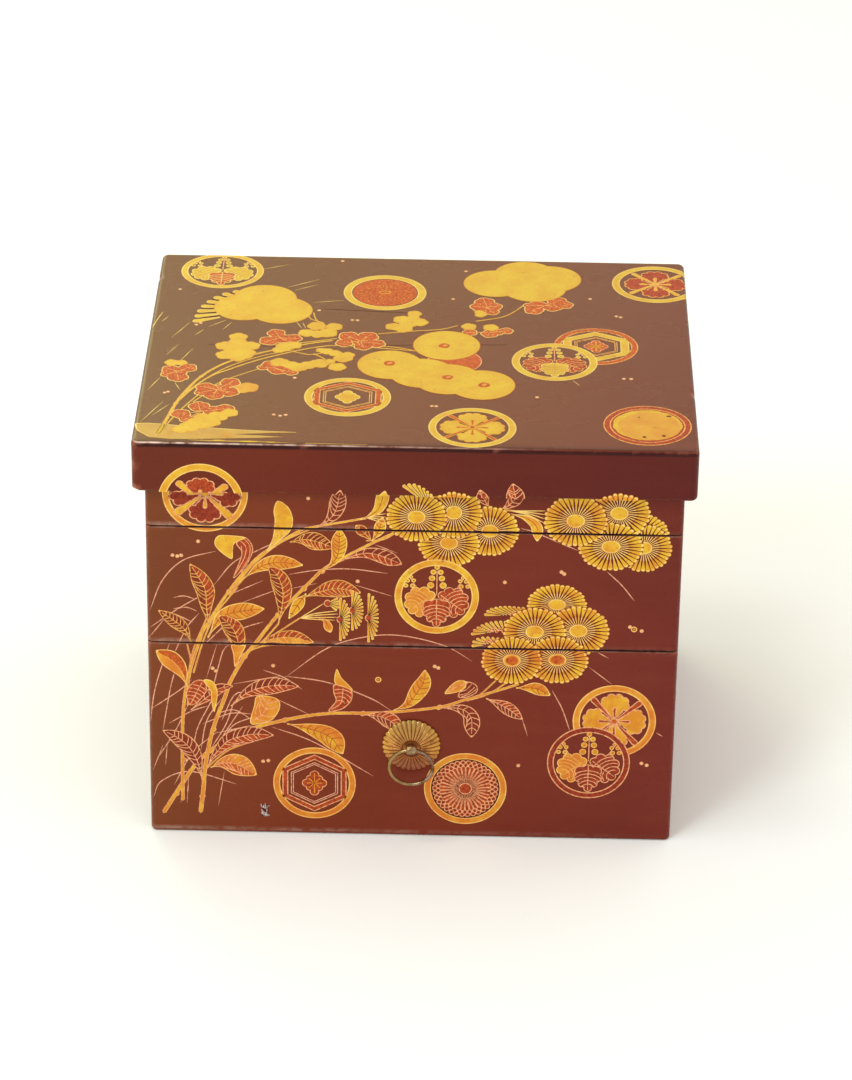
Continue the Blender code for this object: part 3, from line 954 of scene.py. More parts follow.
def four_lobes(canvas, x, y, fill, bars, line="rose", only=None, size=1.0, slim=1.0,
               stretch=(1, 1)):
    """Four many-bumped lobes with clubs between them, round a small middle."""
    def each(shape, start=0):
        return [turned(turned(shape, 0, 0, start + 90 * k, size) * stretch, x, y)
                for k in range(4)]

    bumps = ((7.4, 0, 4.4), (8.2, 4.8, 2.3), (8.2, -4.8, 2.3), (11, 4.3, 2.4), (11, -4.3, 2.4),
             (12.8, 1.7, 2.3), (12.8, -1.7, 2.3), (4.4, 0, 2.6), (10.2, 0, 3.4))
    clubs = each(petal(1.4, 16.8, 0.9, 4 * slim), 41)
    canvas.paint(line, clubs, 2, only=only)
    canvas.paint(bars, each(petal(2.2, 16.3, 0.2, 4 * slim - 1), 41), 3, only=only)
    canvas.paint(line, each(petal(1.4, 7.8, 0.8, 2.1)), 2, clubs, only)
    canvas.paint(bars, each(petal(2.2, 7.3, 0.2, 1.1)), 3, clubs, only)
    for thin, paint, layer in ((0, line, 0), (0.55, fill, 1)):
        canvas.paint(paint, [shape for out, across, r in bumps
                             for shape in each(oval(out, across, r - thin, count=24))],
                     layer, only=only)
    canvas.paint(line, [oval(x, y, 2 * size, count=20)], 4, only=only)
    canvas.paint("coral" if fill == "gold" else "gold", [oval(x, y, 1.2 * size, count=16)], 5,
                 only=only)


def hexagon(x, y, radius):
    """A hexagon on its point, a little broader than a regular one."""
    return np.array([(x + 1.12 * radius * math.sin(math.radians(60 * k)),
                      y + radius * math.cos(math.radians(60 * k))) for k in range(6)])


def tortoiseshell(canvas, x, y, outer, band, fill, line, heart, inner=11.6):
    """A hexagon band, finer hexagons inside it, and a small four-petalled flower."""
    thin_line = "blush" if line == "rose" else "straw"
    for paint, outside, inside, layer in (
            (line, outer, outer - band, 0), (fill, outer - 0.55, outer - band + 0.55, 1),
            (thin_line, inner, inner - 0.45, 0), (thin_line, inner - 1, inner - 1 - 0.45, 0)):
        canvas.paint(paint, [hexagon(x, y, outside)], layer, [hexagon(x, y, inside)])
    lobes = ((0, 4.6, 2.3), (0, -4.6, 2.3), (3.7, 0, 2.3), (-3.7, 0, 2.3), (0, 0, 3.4),
             (2.3, 2.5, 1.8), (-2.3, 2.5, 1.8), (2.3, -2.5, 1.8), (-2.3, -2.5, 1.8))
    blob(canvas, [(x + px, y + py, r) for px, py, r in lobes], heart,
         "rose" if heart in RED_GROUP else "pale", 0.45, hide=False)
    short, long = (petal(0.6, reach, 0.3, 0.6) for reach in (3.8, 5.4))
    canvas.paint("gold" if heart in RED_GROUP else "amber",
                 around(x, y, 8, short, short, long, short), 2)


def many_petals(canvas, x, y):
    """A chrysanthemum crest: a heart, long petals, and the tips of the rows behind them."""
    count = 34
    canvas.paint("rose", [oval(x, y, 3.2)])
    canvas.paint("red", [oval(x, y, 2.7)], 1)
    canvas.paint("rose", around(x, y, count, petal(3.4, 5.2, 0.16, 0.3)))
    rims = around(x, y, count, petal(4.6, 12.7, 0.5, 2.2))
    canvas.paint("rose", rims)
    canvas.paint("red", around(x, y, count, petal(5.4, 12.2, 0.2, 1.4)), 1)
    canvas.hide(*rims)
    for tip, shift in ((14.3, 0.5), (15.8, 0)):
        wide = 0.5 * math.radians(360 / count) * tip
        scales = around(x, y, count, oval(tip - 1.7, 0, 1.7, wide, 0, 16), shift=shift)
        canvas.paint("rose", scales)
        for paint, shape, layer in (("red", oval(tip - 1.6, 0, 1.2, wide - 0.5, 0, 14), 1),
                                    ("brick", oval(tip - 1.3, 0, 0.5, 0.5, 0, 10), 2)):
            canvas.paint(paint, around(x, y, count, shape, shift=shift), layer)
        canvas.hide(*scales)
    canvas.paint("dark", [oval(x, y, 16.4, count=80)], 0, [oval(x, y, 15.9, count=80)])


# ---- the front ----------------------------------------------------------------------------
# Every path is x, y, x, y and so on, in mm on its face. Its points were picked in the photo
# and turned into mm with the fitted camera.
def crests(c, rows):
    """Each row is a figure, its place and details, and then its ring's size and paints."""
    for draw, x, y, details, ring in rows:
        draw(c, x, y, *details)
        crest_ring(c, x, y, *ring)


def front_crests(c):
    crests(c, (
        (paulownia, 84.3, 42.8, (CREST, "amber", "crimson", "crimson", "rose", "straw"),
         (CREST, 3.2, "crimson", "rose")),
        (four_lobes, 95.8, 65.8, ("gold", "red", "rose", None, 1, 0.8), (CREST, 3.4, "amber")),
        (many_petals, 26, 27, (), (CREST, 3.4, "amber")),
        (tortoiseshell, -46, 28.5, (15.8, 2.9, "red", "rose", "red"), (CREST, 3.3, "amber")),
        (paulownia, 10.9, 131.2, (CREST, "amber", "red", "red", "rose", "straw"),
         (CREST, 3.4, "gold")),
        (four_lobes, -96.6, 183, ("crimson", "gold", "rose", TIERS, 1, 1, (1.12, 1)),
         (19.8, 3.2, "amber", "pale", TIERS)),
        (four_lobes, -98.3, 181.4, ("red", "gold", "rose", ("lid",), 0.88, 1, (1.12, 0.95)),
         (19.8, 3.6, "gold", "pale", ("lid",)))))
    c.hide(oval(-97.4, 182.3, 20))


# x, y, half width, half height
FLOWERS = (
    (1, 172.9, 14.4, 13.1), (18.2, 175.6, 13.4, 13.8), (16.2, 159.6, 14.6, 13.2),
    (35, 166.3, 13.8, 13.2), (74.5, 172.4, 15, 13.6), (91.2, 159.3, 15.4, 12.8),
    (94.5, 176.8, 14.6, 13.4), (106.5, 159, 13.2, 12.8), (104.5, 166.2, 13.6, 10.8),
    (46.6, 97.8, 14.6, 13), (68, 98.6, 14.8, 12.9), (57, 113.4, 15, 13.2), (77.4, 114.4, 14.8, 13.4),
    (67, 128.2, 14.2, 11))

# the line the petals start from, the line they reach, and how many
HALF_FLOWERS = (
    ((33, 106, 42, 108), (27.6, 105.2, 27.7, 107.1, 29.4, 109, 32, 110, 34.8, 110.2, 38, 110, 42, 110),
     8),
    ((34, 112.4, 44, 114), (27.2, 111.6, 27.9, 113.5, 30.4, 115.7, 33.2, 117.4, 36.5, 118.5, 39.7, 119,
     43, 119), 9),
    ((41, 122, 54, 123), (33.2, 122.2, 34, 123.9, 36, 125.4, 39.6, 126.4, 43.3, 126.8, 47, 126.6, 50.8,
     126.4), 10))


def front_flowers(c):
    for x, y, rx, ry in FLOWERS:
        low = y < 100
        chrysanthemum(c, x, y, rx, ry, "coral" if low else "gold", "amber" if low else "gold")
    for roots, tips, count in HALF_FLOWERS:
        x, y = roots[2:]
        for paint, radius, points, layer in (("rose", 0.9, 11, 3), ("coral", 0.5, 9, 4)):
            c.paint(paint, [oval(x - 8 + 1.6 * k, y - 0.6 + 1.1 * (k % 2), radius, count=points)
                            for k in range(6)], layer)
        fan(c, roots, tips, count, 1.5)
    for x, y, ahead, across in ((-34.2, 118.1, 4.9, 11.6), (-28.6, 123, 5.5, 10.8),
                                (-21, 119.2, 5, 13.2)):
        side_flower(c, x, y, ahead, across)
    side_flower(c, -40.2, 126.6, 6.4, 5, -5, 5, 80)
    fan(c, (1.9, 186.1, 7.2, 186.2), (-5.4, 192.2, -1.4, 193.1, 2.8, 191.6, 7.7, 188), 7, 1.7)
    for x, y in ((-36.5, 117.6), (-35.5, 119.2), (-35, 121), (-35.5, 122.6), (-41.5, 126.6)):
        grass(c, (-53, 118.3, -46, 118.3 + 0.6 * (y - 118.3), x, y), 0.5, "pale")
    for lift in (-2.6, -0.2, 2, 4):
        grass(c, (44.5, 177, 52, 176 + 0.3 * lift, 60.5, 173.4 + lift), 0.5, "pale")
        grass(c, (-22.5, 172, -18, 171.8 + 0.4 * lift, -13, 170.8 + 0.9 * lift), 0.45, "pale")


def front_plates(c):
    """The curled and folded leaves: a gold underside with a red or lined face."""
    plate(c, (-84.5, 149, -90, 153, -92.5, 157, -91, 161, -86, 161.5, -78, 160.5, -83, 157.5,
              -84, 153.5), "gold")
    plate(c, (-84, 139, -81, 148, -80, 153, -82.5, 157.5, -78, 160.5, -74.5, 155, -77, 147,
              -80.5, 142), "red",
          [(-83, 141, -78.6, 150, -78, 156, -81, 159),
           (-81.5, 141, -77, 149, -76, 156, -79, 160), (-82, 145, -79.8, 151, -80, 156)])
    plate(c, (-68.5, 152.5, -65.5, 160.5, -64.5, 169.5, -65, 175, -63, 180, -58, 176.5,
              -56, 170, -57.5, 164, -62.5, 159), "gold",
          [(-68, 153, -63.5, 161, -62, 166), (-68, 153, -61, 161, -59.5, 166)])
    plate(c, (-98.4, 84, -94, 83.4, -91.8, 78, -92.4, 71, -93.5, 66.5, -94.8, 72, -95.2, 78),
          "gold")
    plate(c, (-106, 72, -106.5, 78, -102.5, 83.5, -98, 83.5, -97, 78, -101, 72, -104.5, 70),
          "red", curved_veins(-105, 70, (3.6, 5.6, 7.6, 9.6, 11.6), 70, 50)
          + [(-105, 70, -99, 83)])
    leaf(c, (-104.5, 67.5, -96.5, 75, -91, 79.5, -84.5, 81), 6, "brick", "red", pairs=5)
    plate(c, (-76.5, 61, -74.5, 71, -73.5, 75.5, -68, 76, -63, 74, -62.5, 69, -66, 63,
              -71, 60.8), "amber", ribs((-76, 61.5, -70, 67, -67, 75), 6, 4))
    plate(c, (-35.5, 91.5, -36.8, 86, -36, 83, -33, 82, -28, 80, -30, 83, -33.5, 87), "gold")
    plate(c, (-37, 83, -37, 78, -36, 74, -39.5, 68.3, -33, 69.5, -28.5, 74.5, -28.5, 80,
              -32.5, 82), "red", curved_veins(-34, 72, (2.4, 4.4, 6.4, 8.4), 80, 62)
          + [(-38, 69.5, -33.5, 73, -32.5, 82)])
    plate(c, (15.5, 79, 18, 83.5, 21.5, 86.4, 25.5, 86, 25, 83, 22.5, 80.5), "amber",
          [(16.5, 79.6, 20, 82.4, 25, 85), (19, 81, 20, 85)])
    plate(c, (25.5, 86, 30, 84.5, 31, 81, 28.5, 78.5, 24.5, 77, 21.5, 77.5, 22.5, 80.5,
              25, 83), "brick", [(22, 78.5, 26, 79.5, 29.5, 83),
                                 (23.4, 77.6, 27.5, 79.4, 30.4, 82),
                                 (23, 80.5, 25.5, 81.5, 28, 84.5)])
    plate(c, (-85.2, 103.4, -81.6, 103, -78.2, 103.4, -80.4, 98, -83.5, 91.5, -84.2, 98),
          "amber")


# spine from the stalk, width, left and right paint, share of the length where it is widest, vein pairs
LEAVES = (
    ((-106, 80, -108.5, 88, -113, 94, -120.5, 99.5), 9.5, "amber", "coral", 0.66, 0),
    ((-95.5, 112.5, -96.5, 123, -97, 132, -100, 139, -104, 146), 9.2, "brick", "red", 0.62, 8),
    ((-104, 104.5, -106.5, 110.5, -111.5, 115.5, -119, 121), 7, "brick", "brick", 0.55, 6),
    ((-83.5, 95, -81.8, 103, -83.5, 110.5, -87, 115.5, -91, 119), 9.4, "brick", "red", 0.62, 6),
    ((-96, 107.5, -89.5, 118, -80, 121.5, -69.5, 123), 9, "amber", "amber", 0.66, 6),
    ((-63, 115, -61, 126, -61, 134, -63.5, 141, -67.5, 145.5), 9.2, "brick", "red", 0.66, 7),
    ((-79, 139, -72.5, 144.5, -65.5, 147.5, -58, 147.5, -51.5, 146.5), 7.8, "amber", "amber", 0.6, 6),
    ((-72.5, 103.5, -65.5, 107, -56.5, 108, -46.5, 105.5), 7.5, "red", "amber", 0.6, 6),
    ((-51, 129.5, -44, 132.5, -35.5, 134.5, -24.5, 132.5), 9.4, "red", "red", 0.6, 7),
    ((-50, 131.5, -53.5, 126, -58, 118), 5.6, "gold", "gold", 0.42, 3),
    ((-44, 118, -41, 117, -38.5, 111), 4.2, "amber", "amber", 0.72, 0),
    ((-42.5, 143.5, -37.5, 148, -35, 154, -34.5, 166), 7.6, "amber", "gold", 0.7, 6),
    ((-57.5, 158.5, -51, 160, -45, 159, -37, 156), 9.2, "brick", "red", 0.55, 6),
    ((-35, 148.5, -28, 152, -21.5, 153.5, -14.5, 152, -5.5, 148), 7.6, "brick", "red", 0.76, 5),
    ((-45, 166.5, -39.5, 170.5, -36, 176.5, -34, 189), 8, "brick", "brick", 0.62, 6),
    ((-25, 171, -20, 173.5, -16, 178, -13.5, 189), 6.2, "gold", "gold", 0.72, 0),
    ((-19.5, 159.5, -22, 163, -27, 168), 5.4, "red", "red", 0.7, 3),
    ((-19.5, 160, -16.5, 165, -14.5, 172.5), 5.6, "amber", "gold", 0.6, 4),
    ((39, 177, 43.5, 180, 46.5, 184.5, 45, 194), 8.6, "red", "brick", 0.68, 6),
    ((34.5, 178.5, 32, 183, 30, 190.5), 6.2, "brick", "red", 0.6, 4),
    ((44, 175.5, 51.5, 173.5, 56.5, 169, 57, 161.5), 5.4, "amber", "gold", 0.74, 0),
    ((-85.5, 70, -78.5, 77, -71, 80.5, -62, 82, -53.5, 81.5), 9.2, "brick", "red", 0.62, 7),
    ((-99.5, 29, -102, 40, -106, 47.5, -111.5, 52.5, -118, 56), 8.8, "brick", "brick", 0.62, 8),
    ((-97, 36, -94, 42.5, -87.5, 50.5, -81, 53.5, -74, 55, -65.5, 54.5), 9.4, "brick", "red", 0.66, 9),
    ((-95.5, 36, -90, 38.5, -83, 38, -73.6, 32.4), 11.4, "amber", "coral", 0.6, 6),
    ((-59, 61, -48.5, 58.5, -38.5, 54, -32.5, 45), 10.4, "amber", "gold", 0.7, 5),
    ((-8.5, 69.5, -2, 73, 2.5, 79.5, 5.5, 85.5, 6, 91.8), 8.4, "amber", "gold", 0.62, 5),
    ((13, 71.5, 23, 71, 28, 66.5, 28.5, 55.5), 8, "brick", "brick", 0.72, 5),
    ((35, 77, 44, 72.5, 52.4, 66), 6.8, "red", "brick", 0.6, 5),
    ((49, 83, 58, 83, 65.2, 79.4), 6.4, "amber", "gold", 0.6, 4),
    ((-22.5, 67, -15.5, 66, -10, 63.5, -4, 58), 8.4, "red", "brick", 0.6, 5))


def front_leaves(c):
    for spine, width, fill, other, widest, pairs in LEAVES:
        x, y = spine[-2:]
        ink = "straw" if x < -20 and 84 < y < 170 else "rose"
        ink = "umber" if not {fill, other} - {"gold", "amber"} else ink
        leaf(c, spine, width, fill, other, widest, pairs + 2 * (pairs > 4), ink)


TWIGS = (
    (-103, 88, -98, 106, -92, 120, -82, 134), (-106, 70, -104, 96, -96, 119),
    (-72, 104, -64, 110, -53, 118.3), (-86, 132, -80, 139, -74, 147, -62, 158, -47, 166),
    (-79, 142, -73, 150, -67, 155, -60, 160), (-83, 92, -80, 98, -70, 103, -58, 104),
    (-99, 34, -88, 45, -78, 50), (24, 75.4, 31, 78, 40, 87.5), (26, 75.6, 36, 79.4, 46, 87),
    (38, 178, 44.5, 177.2, 50, 177), (-8, 165, -14, 161, -22, 160), (-96, 107, -93, 113, -88, 118),
    (-106, 104, -104, 92, -106, 80), (-79, 139, -86, 130), (-63, 115, -70, 106, -76, 101))

GRASS = (
    (-123, 121, -117, 137, -107, 148, -92, 153), (-93, 135, -84, 147, -74, 153, -61, 160),
    (-58, 141.5, -45, 144, -30, 145, -12, 143), (-57, 134, -45, 137), (-27, 136.5, -10, 131),
    (-86, 130, -70, 138), (-80, 126, -62, 134), (-112, 128, -107, 129, -102, 127.5),
    (-112, 122, -106, 123, -101, 121), (-59, 87, -40, 102.5, -22, 109, -5, 110, 15, 105, 28, 97),
    (-60, 87, -40, 84, -20, 76, -10, 69.5), (-85, 82, -62, 87), (-65, 75, -48, 66), (-93, 55, -75, 60),
    (-66, 59, -46, 51, -18, 33), (-123, 19, -119, 28, -105, 33.5, -83, 27), (-107, 16, -106, 32),
    (-110, 16, -109, 28), (-92, 15, -89, 34), (-117, 37, -116, 48), (-123, 34, -118, 48),
    (-124, 60, -121, 80, -114, 104), (-97, 85, -92, 103), (90, 146, 97, 139, 103, 131),
    (83, 95, 94, 86), (66, 82, 71, 72, 75, 60), (52, 67, 55, 57), (-118, 56, -113, 84, -108, 96),
    (-121, 40, -112, 56, -106, 70), (-104, 40, -102, 56, -96, 70, -90, 82), (-124, 106, -116, 117),
    (-100, 46, -97, 62, -90, 74), (-113, 26, -104, 44, -92, 56), (-123, 112, -110, 122, -98, 130),
    (-18, 158, -8, 154), (-119, 121, -111, 119, -103, 115), (-97, 104, -88, 114, -84, 120),
    (-112, 98, -106, 112, -100, 120), (-94, 80, -89, 100, -86, 103), (-70, 90, -60, 86, -52, 80),
    (-88, 104, -80, 112, -70, 116), (-115, 60, -104, 67, -96, 70),
    (49.5, 168, 55, 166.5, 60.5, 164, 76, 157), (-123, 68, -110, 78, -104, 84),
    (-90, 50, -84, 60, -70, 66), (-99, 60, -86, 66, -76, 66), (-92, 66, -84, 68, -76, 63),
    (87, 103, 92, 100), (116, 60, 119, 58), (-95, 47, -88, 60, -84, 73), (-90, 62, -84, 76, -78, 78),
    (-93, 47, -87, 58, -80, 70))

DEW = (
    -112, 150.5, -109.8, 150, -108, 150.5, -100, 158, -49, 181.5, -26, 138.5, 42.5, 139.5, 68.7, 145.5,
    70, 144.5, 101.5, 117, 107, 115, -94, 90.5, -92.5, 89, -65.5, 92.5, 10.5, 93.8, 12.2, 93, 51, 40.5,
    109.5, 43, 112, 42, -70.5, 40, -68, 40.5)


def front_stems(c):
    stem(c, (-100.5, 11.5, -99, 25, -98, 37, -94.5, 56, -88, 76, -85.5, 84, -79, 97, -74, 104,
             -63, 120, -47, 139, -40, 146, -22.5, 157, -8, 165), 2.2, 1.4,
         (-99.6, 20, -94, 57, -79, 97, -63, 120, -51, 134, -42.5, 143.5))
    stem(c, (-109, 18, -108.5, 60, -106, 83, -100, 105, -97, 113, -86, 132, -79, 142,
             -71, 151.5, -54, 164, -45, 167, -33, 169.5, -22.5, 171.8), 1.8, 1.2,
         (-108, 40, -106, 82, -96.5, 113, -86, 132, -79, 142, -54, 163.6))
    stem(c, (-118, 11, -109, 27, -103, 37, -96, 45, -80, 56, -60, 63, -40, 67, -15, 68,
             12, 71.5, 25, 76, 38, 80.5, 50, 85), 2.2, 1.3,
         (-112, 21, -96, 45, -60, 63, -23, 67.4, 13, 71.6))
    for path in TWIGS:
        stem(c, path, 0.95, 0.75)
    for path in GRASS:
        grass(c, path)
    dots(c, DEW)
    ringed_dot(c, 103.4, 115.8)
    ringed_dot(c, -16, 86)
    repair_mark(c)


def repair_mark(c):
    """The pale mark of an old repair: short loose strokes over a dark spot."""
    chance = random.Random(5)
    strokes = []
    for _ in range(24):
        x, y = chance.uniform(-71.4, -68.6), chance.uniform(9.2, 15.4)
        turn, long = math.radians(chance.choice((82, 98, 12, -20))), chance.uniform(0.8, 1.9)
        strokes.append(ribbon((x, y, x + long * math.cos(turn), y + long * math.sin(turn)),
                              0.5, 0.35))
    c.paint("scar", strokes, 1)
    c.paint("dark", [ragged(oval(-69.8, 12.6, 1.7, 3.5, -8, 36), 0.4, 3, 0.9)])


# ---- the top ------------------------------------------------------------------------------
def red_disc(c, x, y):
    """A red disc with hair-fine gold petals."""
    c.paint("umber", around(x, y, 30, petal(5, 14.6, 0.2, 0.4), petal(5, 13.6, 0.2, 0.4)), 1)
    stipple(c, [(x, y, 14.6)], "amber", 90, 3, 0.3)
    c.paint("amber", [oval(x, y, 3, 2)], 3, [oval(x, y, 2.3, 1.3)])
    c.paint("coral", [ragged(oval(x, y, 15.6, count=80), 0.02, 7)])


def worn_disc(c, x, y):
    """A gold disc, rubbed through to red in spots and all round its edge."""
    specks = [oval(117, -68, 1.3, 0.9), oval(114, -88.5, 0.9, 1.1), oval(105, -90, 0.9, 1, 30),
              oval(103, -69.5, 0.6)]
    c.paint("amber", [ragged(oval(107.5, -78.6, 14.4, 14, count=80), 0.05, 9)], 2, specks)
    c.paint("gold", [ragged(oval(106.9, -77.6, 16, 15.6, count=90), 0.03, 4)], 1, specks)
    c.paint("red", [oval(x, y, 16.98, count=96)], 0, specks)


def top_crests(c):
    crests(c, (
        (paulownia, -99, 85, (20.2, "gold", "coral", "gold", "pale", "dull"),
         (20.4, 3.4, "gold")),
        (red_disc, -18, 63, (), (20.3, 4.1, "gold")),
        (four_lobes, 115, 78.5, ("red", "gold", "straw", None, 1.02, 0.7), (21.4, 3.8, "gold")),
        (tortoiseshell, -32.5, -54, (16.4, 3.2, "coral", "straw", "gold", 11.8),
         (20.3, 3.9, "gold")),
        (four_lobes, 26, -83.5, ("gold", "coral", "amber", None, 1, 0.6), (20.3, 3.6, "gold")),
        (paulownia, 64.5, -12, (20, "red", "gold", "red", "straw", "dull"),
         (20.4, 3.8, "gold")),
        (tortoiseshell, 84.5, 6, (16.4, 4.4, "gold", "pale", "coral", 10.6),
         (20.2, 3.4, "coral", "straw")),
        (worn_disc, 106.8, -78, (), (20.4, 3.4, "red", "straw"))))


def top_clouds(c):
    blob(c, [(-76.5, 53.5, 15.7), (-86, 42.8, 14.8), (-68, 40.3, 15.4)], "gold", "amber", 0.5)
    blob(c, [(36, 76, 15.6), (51, 87, 15.6), (63, 82.5, 15.5), (55, 71.5, 16)], "gold",
         "amber", 0.5)
    for x, y in ((31, -38.5), (14, -31), (-14, -17), (12, 3.5)):
        c.paint("coral", [ragged(oval(x, y, 2.8, 2.6, 30, 24), 0.2, x)], 2)
        c.paint("amber", [oval(x + 0.3, y + 0.2, 1.4, 0.9, 40, 14)], 3)
    c.paint("dull", [oval(-21, -12, 0.6), oval(8, -44, 0.6, 0.8), oval(20, -44, 0.5),
                     oval(2, -40, 0.7, 0.5)], 2)
    blob(c, [(30, -38.5, 16), (14, -33, 16.5), (2, -27, 16), (-13.5, -18.5, 15.8)], "gold",
         "umber", 0.35)
    blob(c, [(13, 4, 16.3)], "gold", "umber", 0.35)
    blob(c, [(17, -13, 13)], "coral", "rose", 0.5)
    fan(c, (-97, 31, -95.5, 38, -92, 46, -86, 53, -80, 58),
        (-110, 25.5, -109, 36, -106.5, 45, -102, 53.5, -95.5, 60, -86.8, 64), 9, 3.9)


# paint, then x, y and radius of each lobe
LID_LEAVES = (
    ("gold", -87, 9, 4.6, -87, 3, 4.6, -93, -1, 4.6, -80.5, -0.5, 4.6, -92, -11, 4.8, -84, -9, 6.4,
     -88, -4, 5.6, -86, -14, 4), ("gold", -64.5, -1, 4.6, -60, 1, 4, -67, -4.5, 3.2),
    ("coral", -69, 14, 4.6, -72, 5.5, 5, -61, 8.5, 4.8, -66, 8, 5),
    ("gold", -50, 23, 4.6, -41.5, 22.5, 4.2, -54.5, 15, 4.2, -44.5, 15.5, 5, -49, 14, 4.2),
    ("coral", -34, 12, 5.2, -25, 12, 5.4, -20.5, 4.5, 4.4, -36, 4.5, 4.4, -27, 1.5, 4.6, -28, 7, 5),
    ("gold", -3, 39, 3.6, -9, 32, 4.4, -0.5, 29.5, 4.4, -13, 24, 4, -8, 22, 4.6, -6, 27.5, 4.6, -3.5,
     34, 3.4),
    ("gold", -44, -5, 3.4, -40, -7, 3.4, -47, -4, 2.4, -36, -12, 4.8, -38.5, -22, 4.4, -34, -9, 3.6,
     -42, -16, 2.6),
    ("gold", -66, -18, 4.6, -57, -23, 4.8, -47, -18.5, 4.8, -52, -20.5, 4.2, -61, -20.5, 4),
    ("coral", -70, -21, 4.6, -66, -26, 5.4, -60, -28.5, 3.6, -73.5, -24, 3),
    ("gold", -117, -20.5, 3.4, -112.5, -20.5, 3),
    ("coral", -117, -28, 4.4, -109, -26, 4.6, -113, -36, 5.2, -113, -30, 4.6, -118, -33, 3.6),
    ("coral", -88, -41, 5, -88, -51, 5, -99, -47, 5.2, -95, -54.5, 5, -92, -48, 4.6, -101, -52, 3.4),
    ("amber", -79.5, -46, 5.2, -82, -47.5, 4.4),
    ("gold", -86.5, -73, 4.2, -92, -77, 5.2, -95, -83, 5.2, -100, -84, 6, -104, -88, 5.2, -99, -78, 4,
     -108, -91, 4),
    ("coral", -101, -67, 5.2, -89, -69, 4.8, -95, -71, 4.6, -109, -75, 4.8, -106, -80, 3.8),
    ("gold", 23.5, 25.5, 3.8, 34, 25, 3.8),
    ("coral", 24, 19, 3.8, 33.5, 18, 4.4, 41.5, 21.5, 3.6, 37.5, 20, 3.4),
    ("gold", 29, 39.5, 3, 28.5, 42, 2.6),
    ("coral", 31, 54, 5.2, 29, 48.5, 5.4, 35, 49, 4.8, 34.5, 43, 3.8, 32, 47, 5),
    ("coral", 55, 46, 5, 56.5, 51.5, 5, 64, 50, 5.2, 70, 52.5, 4.4, 66.5, 56.5, 5, 52.5, 51, 3))


def frilled(x, y, r, turn):
    """A lobe with a scalloped edge."""
    a = np.linspace(0, math.tau, 42, endpoint=False)
    reach = r * (0.88 + 0.15 * np.abs(np.cos(2.5 * (a - turn))) ** 0.7)
    return np.stack([x + reach * np.cos(a), y + reach * np.sin(a)], 1)


def top_leaves(c):
    """Lobed leaves with frilled edges; the red ones have veins from the middle of each into its lobes,
    and dots.
    """
    for fill, *numbers in LID_LEAVES:
        lobes = np.reshape(numbers, (-1, 3))
        x, y = lobes.mean(0)[:2]
        turned_lobes = [(px, py, r, math.atan2(py - y, px - x)) for px, py, r in lobes]
        if fill in RED_GROUP:
            c.paint("straw", [ribbon((x, y, px + 0.6 * r * math.cos(turn),
                                      py + 0.6 * r * math.sin(turn)), 0.45, 0.3)
                              for px, py, r, turn in turned_lobes], 2)
            stipple(c, lobes - (0, 0, 0.8), "straw", 9, len(lobes), 0.3)
        edge = [frilled(*lobe) for lobe in turned_lobes]
        c.paint("pale" if fill in RED_GROUP else "amber", edge)
        c.paint(fill, [frilled(px, py, r - 0.5, turn) for px, py, r, turn in turned_lobes], 1)
        c.hide(*edge)


LID_TWIGS = (
    (-108, -52, -99, -36, -88, -22, -74, -11, -60, -4),
    (-117, -94, -112, -78, -106, -63, -99, -49, -89, -37, -76, -26),
    (-62, 1, -58, 3.5, -50, 6, -40, 9.5), (-20, 15.5, -5, 19, 10, 22, 18, 26.5),
    (27, 32, 35, 35, 40, 37.5, 45, 43, 51, 53), (-30, 3, -12, 1, 0, -3.5),
    (-50, -8, -46, -12, -43, -16), (-60, -6, -52, -9, -46, -7), (-104, -62, -98, -52),
    (-47, 27, -53, 31, -55, 38), (-49, 27, -51, 32, -52, 38))

LID_GRASS = (
    (-129, 18, -127, 28, -125, 36), (-125, 25, -122, 31), (-119, 7, -111, 25), (-120, -12, -115, 0),
    (-113, -18, -108, -5), (-108, 10, -104, 17), (-102, 20, -94, 28), (-95, 17, -91, 26),
    (-127, -84, -118, -62), (-122, -77, -115, -65), (-66, 67, -51, 77), (-62, 64, -51, 71),
    (-53, 50, -38, 53), (-79, 88, -67, 94), (-60, 28, -57, 20), (-57, 27, -55, 20), (73, -32, 76, -37),
    (-114, -42, -111, -50), (-126, -50, -121, -36))

LID_DEW = (
    -118.5, 62.5, -49.5, 41, -33, 30.5, -30.5, 30.5, -40, 99.5, 21.5, 90, 15.5, 57, 82.5, 60, 95, 40.5,
    97, 39.5, -58, -34.5, -66, -74, -63, -75, -60.5, -74, 7, -62, 9, -62, 56, -50.5, 97, -29,
    100.5, -29, -108, 22, -106, 24, -118, -53, -116.5, -52)


